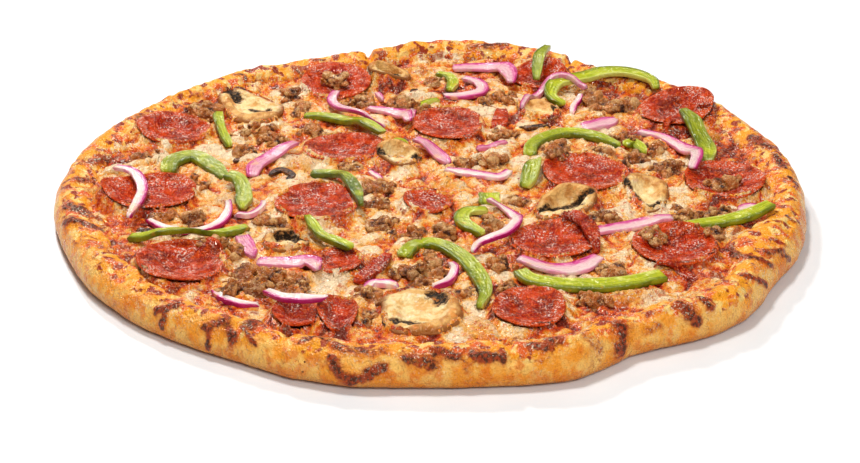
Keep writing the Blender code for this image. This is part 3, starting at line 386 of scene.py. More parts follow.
class Wiring:
    """Adds nodes to a shader tree and joins them."""

    def __init__(self, tree: bpy.types.NodeTree) -> None:
        """Keep the tree to wire."""
        self.tree = tree

    def node(self, kind: str, values: dict | None = None, **settings: object) -> bpy.types.Node:
        """Add a node.

        Args:
            kind: The node's type name.
            values: Socket name or index to a value or to the socket it is joined to.
            settings: Properties of the node.

        Returns:
            The new node.
        """
        made = self.tree.nodes.new(kind)
        for key, value in settings.items():
            setattr(made, key, value)
        for key, value in (values or {}).items():
            socket = made.inputs[key]
            if isinstance(value, bpy.types.NodeSocket):
                self.tree.links.new(value, socket)
            else:
                socket.default_value = value
        return made

    def mix(self, first: Value, second: Value, share: Value) -> Socket:
        """Mix two colours by a share."""
        made = self.node("ShaderNodeMix", {0: share, 6: first, 7: second}, data_type="RGBA")
        return made.outputs[2]

    def math(
        self, operation: str, first: Value, second: Value, third: float = 0.0, clamp: bool = False
    ) -> Socket:
        """Do one sum.

        Args:
            operation: The sum's name.
            first: The first number.
            second: The second number.
            third: What MULTIPLY_ADD adds.
            clamp: Whether the result is kept between 0 and 1.

        Returns:
            The result.
        """
        made = self.node(
            "ShaderNodeMath", {0: first, 1: second, 2: third}, operation=operation, use_clamp=clamp
        )
        return made.outputs[0]

    def times(self, first: Value, second: Value) -> Socket:
        """Multiply two values."""
        return self.math("MULTIPLY", first, second)

    def plus(self, first: Value, second: Value) -> Socket:
        """Add two values."""
        return self.math("ADD", first, second)

    def minus(self, first: Value, second: Value) -> Socket:
        """Take the second value from the first."""
        return self.math("SUBTRACT", first, second)

    def ranged(
        self, value: Value, low: Value, high: Value, first: float = 0.0, last: float = 1.0,
        kind: str = "LINEAR",
    ) -> Socket:
        """Map one range of values onto another, and stop at its ends.

        Args:
            value: What is mapped.
            low: The value that gives the first result.
            high: The value that gives the last result.
            first: The first result.
            last: The last result.
            kind: How the results run from first to last.

        Returns:
            The result.
        """
        made = self.node(
            "ShaderNodeMapRange", {0: value, 1: low, 2: high, 3: first, 4: last},
            interpolation_type=kind,
        )
        return made.outputs[0]

    def ramp(self, level: Socket, stops: Stops) -> Socket:
        """Colour a level.

        Args:
            level: A value from 0 to 1.
            stops: Levels with their colours, upward.

        Returns:
            The colour.
        """
        made = self.node("ShaderNodeValToRGB", {0: level})
        elements = made.color_ramp.elements
        for index, (where, shade) in enumerate(stops):
            stop = elements[index] if index < 2 else elements.new(where)
            stop.position = where
            stop.color = shade
        return made.outputs["Color"]

    def attribute(self, name: str) -> Socket:
        """Return a mask that the mesh carries."""
        return self.node("ShaderNodeAttribute", attribute_name=name).outputs["Fac"]


def start_group(name: str, numbers: dict[str, float]) -> tuple[Wiring, bpy.types.Node]:
    """Start a group that turns a vector and some numbers into a mask.

    Args:
        name: The group's name.
        numbers: Its inputs beside the vector, with the values they start from.

    Returns:
        The group's wiring and its node of inputs.
    """
    tree = bpy.data.node_groups.new(name, "ShaderNodeTree")
    tree.interface.new_socket("Vector", in_out="INPUT", socket_type="NodeSocketVector")
    for key, value in numbers.items():
        made = tree.interface.new_socket(key, in_out="INPUT", socket_type="NodeSocketFloat")
        made.default_value = value
    tree.interface.new_socket("Mask", in_out="OUTPUT", socket_type="NodeSocketFloat")
    wires = Wiring(tree)
    return wires, wires.node("NodeGroupInput")


def mottle_group() -> bpy.types.NodeTree:
    """Build once the group that turns noise into a mask with soft edges.

    Returns:
        The group.
    """
    found = bpy.data.node_groups.get("Mottle")
    if found:
        return found
    wires, inside = start_group(
        "Mottle", {"Per metre": 300.0, "Detail": 3.0, "Low": 0.4, "High": 0.6, "Warp": 0.0}
    )
    given = inside.outputs
    inputs = {"Vector": "Vector", "Scale": "Per metre", "Detail": "Detail", "Distortion": "Warp"}
    texture = wires.node("ShaderNodeTexNoise", {key: given[name] for key, name in inputs.items()})
    mask = wires.ranged(texture.outputs["Fac"], given["Low"], given["High"], kind="SMOOTHSTEP")
    wires.node("NodeGroupOutput", {"Mask": mask})
    return wires.tree


def fleck_group() -> bpy.types.NodeTree:
    """Build once the group that scatters small round flecks.

    Returns:
        The group.
    """
    found = bpy.data.node_groups.get("Flecks")
    if found:
        return found
    wires, inside = start_group("Flecks", {"Per metre": 300.0, "Size": 0.2, "Share": 0.3})
    given = inside.outputs
    cells = wires.node(
        "ShaderNodeTexVoronoi", {"Vector": given["Vector"], "Scale": given["Per metre"]}
    )
    near = wires.ranged(cells.outputs["Distance"], given["Size"], 0.0)
    parts = wires.node("ShaderNodeSeparateColor", {0: cells.outputs["Color"]})
    chosen = wires.math("LESS_THAN", parts.outputs[0], given["Share"])
    sharp = wires.math("MULTIPLY", near, 3.0, clamp=True)
    wires.node("NodeGroupOutput", {"Mask": wires.times(sharp, chosen)})
    return wires.tree


class Coat:
    """A material under construction: a colour so far, and the shared effects to lay over it."""

    def __init__(self, finish: Finish) -> None:
        """Start a material.

        Args:
            finish: The finish that gives its name and gloss.
        """
        self.material = bpy.data.materials.new(finish.name)
        self.material.use_nodes = True
        self.wires = Wiring(self.material.node_tree)
        self.sockets = self.wires.tree.nodes["Principled BSDF"].inputs
        self.sockets["Roughness"].default_value = finish.roughness
        self.sockets["Specular IOR Level"].default_value = finish.specular
        self.sockets["Specular Tint"].default_value = finish.tint
        self.place = self.wires.node("ShaderNodeTexCoord").outputs["Object"]
        self.colour: Value = finish.tint

    def mottle(
        self, size: float, low: float, high: float, detail: float = 3.0, warp: float = 0.0,
        place: Socket | None = None,
    ) -> Socket:
        """Make soft blotches.

        Args:
            size: About how large they are, in millimetres.
            low: The noise where they start.
            high: The noise where they are full.
            detail: How many finer layers they have.
            warp: How far they are stirred.
            place: Where they are read, if not at the place on the object.

        Returns:
            The mask.
        """
        values = {
            "Vector": self.place if place is None else place,
            "Per metre": 1.0 / (size * MM),
            "Detail": detail,
            "Low": low,
            "High": high,
            "Warp": warp,
        }
        made = self.wires.node("ShaderNodeGroup", values, node_tree=mottle_group())
        return made.outputs["Mask"]

    def flecks(self, spacing: float, size: float, share: float) -> Socket:
        """Make small round flecks.

        Args:
            spacing: How far apart their places are, in millimetres.
            size: Their radius as a share of the spacing.
            share: The share of the places that has one.

        Returns:
            The mask.
        """
        values = {
            "Vector": self.place, "Per metre": 1.0 / (spacing * MM), "Size": size, "Share": share,
        }
        made = self.wires.node("ShaderNodeGroup", values, node_tree=fleck_group())
        return made.outputs["Mask"]

    def streaks(self, width: float) -> Socket:
        """Make streaks that run along a strip.

        Args:
            width: How wide they are, in millimetres.

        Returns:
            The mask.
        """
        wires = self.wires
        place = wires.node(
            "ShaderNodeCombineXYZ",
            {
                0: wires.times(wires.attribute("across"), 3.0 * MM),
                1: wires.times(wires.attribute("along"), 0.12 * MM),
            },
        )
        return self.mottle(width, 0.3, 0.7, 2.0, place=place.outputs[0])

    def specks(self, low: float, high: float, patch: Sequence[float]) -> Socket:
        """Make fine specks that gather in patches, which the finishes lay on as painted glints of
        light.

        Args:
            low: The noise where a speck starts.
            high: The noise where it is full.
            patch: The patches' size in millimetres, and the noise where they start and are full.

        Returns:
            The mask.
        """
        return self.wires.times(self.mottle(0.9, low, high, 2.0), self.mottle(*patch))

    def ragged(self, mask: Socket, share: float, size: float, detail: float = 4.0,
               low: float = 0.3) -> Socket:
        """Make a mask's edge uneven.

        Args:
            mask: The mask.
            share: How much noise is added to it.
            size: The size of the noise in millimetres.
            detail: How many finer layers it has.
            low: The noise below which nothing is added.

        Returns:
            The mask with the noise added.
        """
        return self.wires.plus(mask, self.wires.times(self.mottle(size, low, 0.7, detail), share))

    def lay(self, colour: Value, share: Socket, strength: float = 1.0) -> None:
        """Lay a colour over the one so far.

        Args:
            colour: The colour.
            share: Where it shows.
            strength: How much of it shows there.
        """
        if strength < 1.0:
            share = self.wires.times(share, strength)
        self.colour = self.wires.mix(self.colour, colour, share)

    def gloss(self, share: Socket, first: float, last: float) -> None:
        """Let the roughness go from a first to a last value with a share."""
        made = self.wires.ranged(share, 0.0, 1.0, first, last)
        self.wires.tree.links.new(made, self.sockets["Roughness"])

    def bump(self, height: Socket, depth: float) -> None:
        """Add relief to what there is.

        Args:
            height: Its height, from 0 to 1.
            depth: How deep it is, in millimetres.
        """
        normal = self.sockets["Normal"]
        values = {"Height": height, "Strength": 1.0, "Distance": depth * MM}
        if normal.is_linked:
            values["Normal"] = normal.links[0].from_socket
        made = self.wires.node("ShaderNodeBump", values)
        self.wires.tree.links.new(made.outputs["Normal"], normal)


@dataclass(frozen=True)
class Finish:
    """The look of one kind of surface."""

    name: str
    roughness: float
    specular: float = 0.5
    tint: Colour = srgb(255, 255, 255)

    def build(self) -> bpy.types.Material:
        """Build the material.

        Returns:
            The new material.
        """
        coat = Coat(self)
        self.paint(coat)
        coat.wires.tree.links.new(coat.colour, coat.sockets["Base Color"])
        return coat.material

    def paint(self, coat: Coat) -> None:
        """Give the coat its colours, gloss and relief, as each finish says."""
        raise NotImplementedError(self.name)


@dataclass(frozen=True)
class CrustFinish(Finish):
    """Baked dough: golden outside, then browned cheese and char toward the crest."""

    name: str = "baked crust"
    roughness: float = 0.36
    tint: Colour = srgb(255, 226, 180)
    dough: Colour = srgb(250, 154, 36)
    pale_dough: Colour = srgb(255, 194, 98)
    orange: Colour = srgb(230, 110, 12)
    foot: Colour = srgb(196, 108, 26)
    gold: Colour = srgb(255, 164, 30)
    rust: Colour = srgb(228, 88, 8)
    cream: Colour = srgb(255, 208, 116)
    oil: Colour = srgb(156, 38, 8)
    halo: Colour = srgb(196, 84, 18)
    scorch: Colour = srgb(158, 50, 14)
    char: Colour = srgb(78, 20, 8)
    fleck: Colour = srgb(110, 52, 22)
    painted_highlight: Colour = srgb(255, 240, 212)

    def paint(self, coat: Coat) -> None:
        """Paint the dough, the cheese baked onto it, the char, then painted highlight specks toward
        the rim's top.

        Args:
            coat: The material under construction.
        """
        wires = coat.wires
        inward = wires.attribute("inward")
        coat.colour = self.dough
        coat.lay(self.pale_dough, coat.mottle(9, 0.42, 0.6, 4.0))
        coat.lay(self.orange, coat.mottle(7, 0.5, 0.62, 4.0), 0.7)
        coat.lay(self.foot, wires.ranged(inward, 0.26, 0.06, 0.0, 0.9))
        baked = wires.mix(self.gold, self.rust, coat.mottle(8, 0.46, 0.6, 4.0))
        baked = wires.mix(baked, self.cream, coat.mottle(5, 0.53, 0.62, 4.0))
        baked = wires.mix(baked, self.oil, coat.mottle(5.2, 0.54, 0.61, 5.0))
        cheesy = coat.ragged(wires.attribute("rough"), 0.6, 5)
        coat.lay(baked, wires.ranged(cheesy, 0.4, 0.9))
        burnt = coat.ragged(wires.attribute("char"), 0.3, 2.2, 5.0)
        coat.lay(self.halo, wires.ranged(burnt, 0.42, 1.0, 0.0, 0.8))
        scorch = wires.mix(self.scorch, self.char, coat.mottle(1.8, 0.44, 0.56))
        coat.lay(scorch, wires.ranged(burnt, 0.8, 1.06))
        coat.lay(self.fleck, coat.flecks(8, 0.07, 0.5))
        # Painted highlight: pale specks in patches, strongest on the rim's top and inner slope.
        inside = wires.math("MULTIPLY_ADD", inward, 1.5, -0.15, clamp=True)
        coat.lay(self.painted_highlight, wires.times(coat.specks(0.56, 0.66, (8, 0.4, 0.6)), inside), 0.85)
        coat.gloss(coat.mottle(2.5, 0.4, 0.62), 0.4, 0.24)
        coat.bump(coat.mottle(3.2, 0.25, 0.75), 0.7)
        coat.bump(coat.mottle(1.0, 0.3, 0.7, 2.0), 0.32)


@dataclass(frozen=True)
class CheeseFinish(Finish):
    """Melted cheese: cream lumps, golden slopes, orange-red oil and painted shade in the hollows,
    toasted tops.
    """

    name: str = "melted cheese"
    roughness: float = 0.3
    specular: float = 0.6
    tint: Colour = srgb(255, 232, 200)
    # Colours from hollow to lump: the dark reds low down are partly oil and partly painted shade.
    shaded_hollow_to_lump: Stops = (
        (0.0, srgb(116, 20, 2)), (0.14, srgb(192, 44, 4)), (0.3, srgb(234, 98, 8)),
        (0.44, srgb(246, 150, 34)), (0.58, srgb(252, 188, 98)), (0.86, srgb(255, 224, 180)),
    )
    glaze: Colour = srgb(238, 160, 50)
    spot: Colour = srgb(220, 100, 26)
    toast: Colour = srgb(164, 66, 22)
    chilli: Colour = srgb(176, 34, 14)
    herb: Colour = srgb(60, 44, 18)
    painted_sheen: Colour = srgb(255, 236, 190)
    painted_highlight: Colour = srgb(255, 250, 236)

    def paint(self, coat: Coat) -> None:
        """Colour the sheet by its height, with painted shade in the hollows, then lay on the glaze,
        the toast, the flecks, a painted sheen and painted highlights.

        Args:
            coat: The material under construction.
        """
        wires = coat.wires
        rise = wires.attribute("rise")
        fine = wires.minus(coat.mottle(2.4, 0.3, 0.7, 4.0), 0.5)
        tone = wires.minus(wires.attribute("tone"), 0.5)
        level = wires.plus(wires.times(rise, 0.95), wires.times(fine, 0.3))
        coat.colour = wires.ramp(wires.plus(level, wires.times(tone, 0.9)), self.shaded_hollow_to_lump)
        coat.lay(self.glaze, wires.attribute("glaze"), 0.75)
        coat.lay(self.spot, coat.mottle(3.2, 0.56, 0.64, 4.0), 0.75)
        browned = coat.ragged(wires.attribute("toast"), 0.4, 3.4, low=0.35)
        coat.lay(self.toast, wires.ranged(browned, 0.62, 0.92, 0.0, 0.9))
        coat.lay(self.chilli, coat.flecks(8, 0.13, 0.35))
        coat.lay(self.herb, coat.flecks(6.5, 0.075, 0.35))
        # Painted sheen: pale streaks on the higher lumps.
        coat.lay(self.painted_sheen, wires.times(coat.mottle(2.6, 0.56, 0.66, 4.0, 1.4), rise), 0.5)
        # Painted highlight: fine pale specks in patches.
        coat.lay(self.painted_highlight, coat.specks(0.57, 0.66, (7, 0.42, 0.62)), 0.7)
        coat.gloss(coat.mottle(2.2, 0.35, 0.65), 0.1, 0.34)
        coat.bump(coat.mottle(2.6, 0.25, 0.75), 0.8)
        coat.bump(coat.mottle(0.9, 0.3, 0.7, 2.0), 0.4)


@dataclass(frozen=True)
class PepperoniFinish(Finish):
    """Cured sausage: red meat with small fatty flecks that are partly painted glints, an orange oily
    edge and moist gloss.
    """

    name: str = "pepperoni"
    roughness: float = 0.24
    tint: Colour = srgb(255, 200, 160)
    meat: Colour = srgb(170, 18, 0)
    bright_meat: Colour = srgb(220, 60, 4)
    dark_meat: Colour = srgb(104, 6, 2)
    spice: Colour = srgb(234, 96, 24)
    rim: Colour = srgb(232, 84, 12)
    fat_and_glint: Colour = srgb(255, 226, 210)

    def paint(self, coat: Coat) -> None:
        """Paint the meat, its oily rim and the fatty specks, which are partly painted glints of
        light.

        Args:
            coat: The material under construction.
        """
        coat.colour = self.meat
        coat.lay(self.bright_meat, coat.mottle(6, 0.42, 0.6, 4.0))
        coat.lay(self.dark_meat, coat.mottle(10, 0.5, 0.66), 0.75)
        coat.lay(self.spice, coat.mottle(1.3, 0.5, 0.62), 0.65)
        edge = coat.ragged(coat.wires.attribute("edge"), 0.42, 8)
        coat.lay(self.rim, coat.wires.ranged(edge, 0.96, 1.22, 0.0, 0.9))
        # Pale specks in patches: partly fatty flecks, partly painted glints of light.
        coat.lay(self.fat_and_glint, coat.specks(0.53, 0.63, (8, 0.42, 0.6)), 0.85)
        coat.gloss(coat.mottle(4, 0.42, 0.58), 0.14, 0.34)
        coat.bump(coat.mottle(2.6, 0.3, 0.7), 0.8)
        coat.bump(coat.mottle(0.9, 0.3, 0.7, 2.0), 0.55)


@dataclass(frozen=True)
class SausageFinish(Finish):
    """Crumbled sausage: tan lumps with painted highlights, painted shade in the hollows, orange oil
    and specks of spice.
    """

    name: str = "sausage crumbles"
    roughness: float = 0.34
    # Painted shade in the hollows up to painted highlight on the knobs, by height.
    shaded_hollow_to_lump: Stops = (
        (0.0, srgb(60, 24, 8)), (0.24, srgb(138, 74, 26)), (0.5, srgb(194, 122, 56)),
        (0.8, srgb(236, 180, 112)),
    )
    oil: Colour = srgb(220, 116, 30)
    brown: Colour = srgb(132, 62, 22)
    spice: Colour = srgb(40, 24, 12)
    fat_and_glint: Colour = srgb(255, 226, 176)

    def paint(self, coat: Coat) -> None:
        """Colour the lumps by their height, as painted shade in the hollows and painted highlight on
        the knobs, then lay on the oil, the spice and the fatty specks.

        Args:
            coat: The material under construction.
        """
        wires = coat.wires
        fine = wires.minus(coat.mottle(1.8, 0.3, 0.7, 4.0), 0.5)
        level = wires.plus(wires.attribute("rise"), wires.times(fine, 0.45))
        coat.colour = wires.ramp(level, self.shaded_hollow_to_lump)
        coat.lay(self.oil, coat.mottle(6, 0.44, 0.6), 0.6)
        coat.lay(self.brown, coat.mottle(10, 0.54, 0.66), 0.5)
        coat.lay(self.spice, coat.flecks(3.4, 0.13, 0.25))
        # Pale specks in patches: partly fatty flecks, partly painted glints of light.
        coat.lay(self.fat_and_glint, coat.specks(0.6, 0.68, (5, 0.42, 0.6)), 0.7)
        coat.gloss(coat.mottle(2, 0.4, 0.6), 0.14, 0.42)
        coat.bump(coat.mottle(1.7, 0.25, 0.75, 4.0), 0.8)
        coat.bump(coat.mottle(0.8, 0.3, 0.7, 2.0), 0.4)


@dataclass(frozen=True)
class PepperFinish(Finish):
    """Cooked green pepper: yellow-green flesh, greener skin along one side, moist gloss."""

    name: str = "green pepper"
    roughness: float = 0.2
    flesh: Colour = srgb(158, 168, 14)
    bright_flesh: Colour = srgb(200, 202, 40)
    pale_flesh: Colour = srgb(222, 222, 112)
    skin: Colour = srgb(92, 106, 8)
    bright_skin: Colour = srgb(142, 150, 14)
    edge: Colour = srgb(214, 216, 104)
    oil: Colour = srgb(226, 150, 44)
    dark: Colour = srgb(64, 82, 16)

    def paint(self, coat: Coat) -> None:
        """Paint the flesh, the skin on one side and the pale cut edge on the other.

        Args:
            coat: The material under construction.
        """
        wires = coat.wires
        across = wires.attribute("across")
        streaks = coat.streaks(0.9)
        coat.colour = self.flesh
        coat.lay(self.bright_flesh, streaks)
        coat.lay(self.pale_flesh, coat.mottle(6, 0.56, 0.72))
        skin = wires.mix(self.skin, self.bright_skin, streaks)
        coat.lay(skin, wires.ranged(across, 0.25, 0.85))
        coat.lay(self.edge, wires.ranged(across, -0.6, -0.95, 0.0, 0.8))
        coat.lay(self.oil, coat.mottle(8, 0.64, 0.74), 0.5)
        dark = wires.times(wires.attribute("tone"), coat.mottle(12, 0.3, 0.55))
        coat.lay(self.dark, dark, 0.75)
        coat.bump(streaks, 0.25)
        coat.bump(coat.mottle(2.2, 0.3, 0.7, 2.0), 0.3)


@dataclass(frozen=True)
class OnionFinish(Finish):
    """Cooked red onion: magenta skin edge, pink layers and a pale, almost clear body."""

    name: str = "red onion"
    roughness: float = 0.2
    body_to_skin: Stops = (
        (0.0, srgb(236, 160, 184)), (0.1, srgb(250, 232, 218)), (0.5, srgb(246, 220, 208)),
        (0.68, srgb(238, 170, 190)), (0.82, srgb(218, 76, 148)), (0.93, srgb(176, 16, 96)),
    )
    pink: Colour = srgb(226, 112, 158)
    deep_pink: Colour = srgb(194, 36, 112)
    oil: Colour = srgb(246, 196, 130)

    def paint(self, coat: Coat) -> None:
        """Colour the strip from body to skin, with more pink where its tone says so.

        Args:
            coat: The material under construction.
        """
        wires = coat.wires
        streaks = coat.streaks(0.7)
        wobble = wires.times(wires.minus(streaks, 0.5), 0.35)
        place = wires.plus(wires.attribute("across"), wobble)
        coat.colour = wires.ramp(wires.times(wires.plus(place, 1.0), 0.5), self.body_to_skin)
        pink = wires.mix(self.pink, self.deep_pink, streaks)
        coat.lay(pink, wires.attribute("tone"), 0.75)
        coat.lay(self.oil, coat.mottle(7, 0.58, 0.72), 0.5)
        coat.bump(streaks, 0.2)
        coat.bump(coat.mottle(2.5, 0.3, 0.7, 2.0), 0.2)


@dataclass(frozen=True)
class MushroomFinish(Finish):
    """Cooked mushroom: cream flesh, a browned cap and black gills."""

    name: str = "mushroom"
    roughness: float = 0.36
    specular: float = 0.25
    tint: Colour = srgb(255, 226, 180)
    flesh: Colour = srgb(252, 222, 160)
    tan_flesh: Colour = srgb(232, 176, 100)
    cream: Colour = srgb(255, 244, 216)
    cap: Colour = srgb(236, 174, 92)
    brown_cap: Colour = srgb(190, 114, 46)
    rim: Colour = srgb(150, 80, 28)
    wall: Colour = srgb(150, 86, 38)
    halo: Colour = srgb(112, 62, 28)
    gills: Colour = srgb(20, 9, 5)
    oil: Colour = srgb(236, 132, 32)

    def paint(self, coat: Coat) -> None:
        """Paint the flesh, the cap, the browned rim and wall, then the gills.

        Args:
            coat: The material under construction.
        """
        wires = coat.wires
        gills = wires.attribute("gills")
        coat.colour = self.flesh
        coat.lay(self.tan_flesh, coat.mottle(5, 0.42, 0.64, 4.0))
        coat.lay(self.cream, coat.mottle(3, 0.55, 0.7), 0.6)
        cap = wires.mix(self.cap, self.brown_cap, coat.mottle(5, 0.42, 0.64, 4.0))
        coat.lay(cap, wires.attribute("cap"), 0.85)
        coat.lay(self.rim, wires.ranged(wires.attribute("edge"), 0.82, 0.96, 0.0, 0.9))
        coat.lay(self.wall, wires.minus(1.0, wires.attribute("above")), 0.7)
        leaves = wires.math("MULTIPLY_ADD", coat.mottle(1.3, 0.36, 0.64), 0.8, 0.6)
        ragged = wires.times(gills, leaves)
        coat.lay(self.halo, wires.ranged(ragged, 0.1, 0.5, 0.0, 0.85))
        coat.lay(self.gills, wires.ranged(ragged, 0.45, 0.85))
        coat.lay(self.oil, coat.mottle(6, 0.6, 0.72), 0.55)
        coat.gloss(gills, 0.3, 0.6)
        coat.bump(coat.mottle(1.6, 0.3, 0.7, 4.0), 0.5)


@dataclass(frozen=True)
class ScrapFinish(Finish):
    """Roasted scraps: dark brown with a moist sheen and paler worn edges."""

    name: str = "roasted scrap"
    roughness: float = 0.3
    dark: Colour = srgb(40, 22, 12)
    brown: Colour = srgb(112, 62, 26)
    worn: Colour = srgb(190, 128, 68)

    def paint(self, coat: Coat) -> None:
        """Paint the scraps.

        Args:
            coat: The material under construction.
        """
        coat.colour = self.dark
        coat.lay(self.brown, coat.mottle(2.6, 0.4, 0.62, 4.0))
        coat.lay(self.worn, coat.mottle(1.6, 0.56, 0.68), 0.6)
        coat.bump(coat.mottle(1.4, 0.3, 0.7), 0.6)


@dataclass(frozen=True)
class FloorFinish(Finish):
    """The pale floor, a little uneven."""

    name: str = "floor"
    roughness: float = 0.6
    pale: Colour = srgb(240, 240, 240)
    paler: Colour = srgb(246, 246, 246)

    def paint(self, coat: Coat) -> None:
        """Paint the floor with two near whites."""
        coat.colour = self.pale
        coat.lay(self.paler, coat.mottle(60, 0.3, 0.7))


class Solid:
    """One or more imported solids, asked for the height of their surface."""

    def __init__(self, nodes: Sequence[bpy.types.Object]) -> None:
        """Join the nodes in one search tree.

        Args:
            nodes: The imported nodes.
        """
        points, faces = [], []
        for node in nodes:
            base = len(points)
            points += [v.co.copy() for v in node.data.vertices]
            faces += [tuple(base + i for i in p.vertices) for p in node.data.polygons]
        self.tree = BVHTree.FromPolygons(points, faces)

    def toward(self, start: Vector, aim: Vector) -> Vector | None:
        """Return the first point of the surface from a start along a direction."""
        return self.tree.ray_cast(start, aim)[0]

    def top(self, x: float, y: float) -> float | None:
        """Return the height of the highest surface at a place, or None."""
        hit = self.toward(Vector((x, y, SKY)), DOWN)
        return None if hit is None else hit.z

    def bottom(self, x: float, y: float) -> float | None:
        """Return the height of the lowest surface at a place, or None."""
        hit = self.toward(Vector((x, y, PIT)), UP)
        return None if hit is None else hit.z


def waves(points: np.ndarray, size: float, seed: float, depth: int = 2) -> np.ndarray:
    """Make smooth noise at points.

    Args:
        points: Places in metres, one row each.
        size: Size of the bumps in millimetres.
        seed: Moves the noise elsewhere.
        depth: Number of layers, each half the size of the one before.

    Returns:
        Values between about -1 and 1.
    """
    total = np.zeros(len(points))
    for layer in range(depth):
        scale = 1.0 / (size * MM / 2 ** layer)
        shift = seed + 7.3 * layer
        total += np.array([
            noise.noise(Vector((p[0] * scale + shift, p[1] * scale, p[2] * scale)))
            for p in points
        ]) / 2 ** layer
    return total


def away_from(points: np.ndarray, line: Line) -> np.ndarray:
    """Measure how far points are from a line.

    Args:
        points: Places in metres, one row each.
        line: The line's knots in millimetres, on the plane or in space.

    Returns:
        The distances in metres.
    """
    best = np.full(len(points), 1.0)
    knots = np.array(line, dtype=float) * MM
    spots = points[:, : knots.shape[1]]
    for first, last in zip(knots[:-1], knots[1:]):
        span = last - first
        share = np.clip(((spots - first) @ span) / max(span @ span, 1e-12), 0.0, 1.0)
        gap = spots - (first + share[:, None] * span)
        best = np.minimum(best, np.linalg.norm(gap, axis=1))
    return best


def oval(points: np.ndarray, spot: Sequence[float], length: float, width: float,
         turn: float) -> np.ndarray:
    """Measure how far out in an oval points are.

    Args:
        points: Places in metres, one row each.
        spot: The oval's centre in millimetres.
        length: Its length in millimetres.
        width: Its width in millimetres.
        turn: How far its length is turned, in degrees.

    Returns:
        The squared reach, which is 1 on the oval's edge.
    """
    c, s = math.cos(math.radians(turn)), math.sin(math.radians(turn))
    x, y = points[:, 0] / MM - spot[0], points[:, 1] / MM - spot[1]
    return (2 * (x * c + y * s) / length) ** 2 + (2 * (-x * s + y * c) / width) ** 2


def smooth_rows(grid: np.ndarray, rounds: int, wrap: bool) -> np.ndarray:
    """Average each value of a grid with its neighbours, several times.

    Args:
        grid: Values, with rows along the first axis.
        rounds: How often to average.
        wrap: Whether the rows close on themselves.

    Returns:
        The smoothed grid.
    """
    out = grid.copy()
    for _ in range(rounds):
        if wrap:
            out = 0.5 * out + 0.25 * (np.roll(out, 1, 0) + np.roll(out, -1, 0))
        else:
            out[1:-1] = 0.5 * out[1:-1] + 0.25 * (out[2:] + out[:-2])
        out[:, 1:-1] = 0.5 * out[:, 1:-1] + 0.25 * (out[:, 2:] + out[:, :-2])
    return out


def add_piece(
    name: str,
    points: np.ndarray,
    faces: Faces,
    finish: bpy.types.Material,
    masks: Masks,
    stands_for: str | None = None,
) -> None:
    """Make one piece of the dressed pizza.

    Args:
        name: The piece's name.
        points: Its corners in metres.
        faces: Its faces.
        finish: Its material.
        masks: Values per corner that the material reads.
        stands_for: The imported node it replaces, if any.
    """
    mesh = bpy.data.meshes.new(name)
    mesh.from_pydata(points.tolist(), [], faces)
    for key, values in masks.items():
        layer = mesh.attributes.new(key, "FLOAT", "POINT")
        layer.data.foreach_set("value", np.asarray(values, dtype=np.float32))
    mesh.materials.append(finish)
    mesh.shade_smooth()
    piece = bpy.data.objects.new(name, mesh)
    bpy.context.scene.collection.objects.link(piece)
    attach(piece, "root")
    if stands_for:
        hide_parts(stands_for)
    log.info("%s: %d faces", name, len(faces))


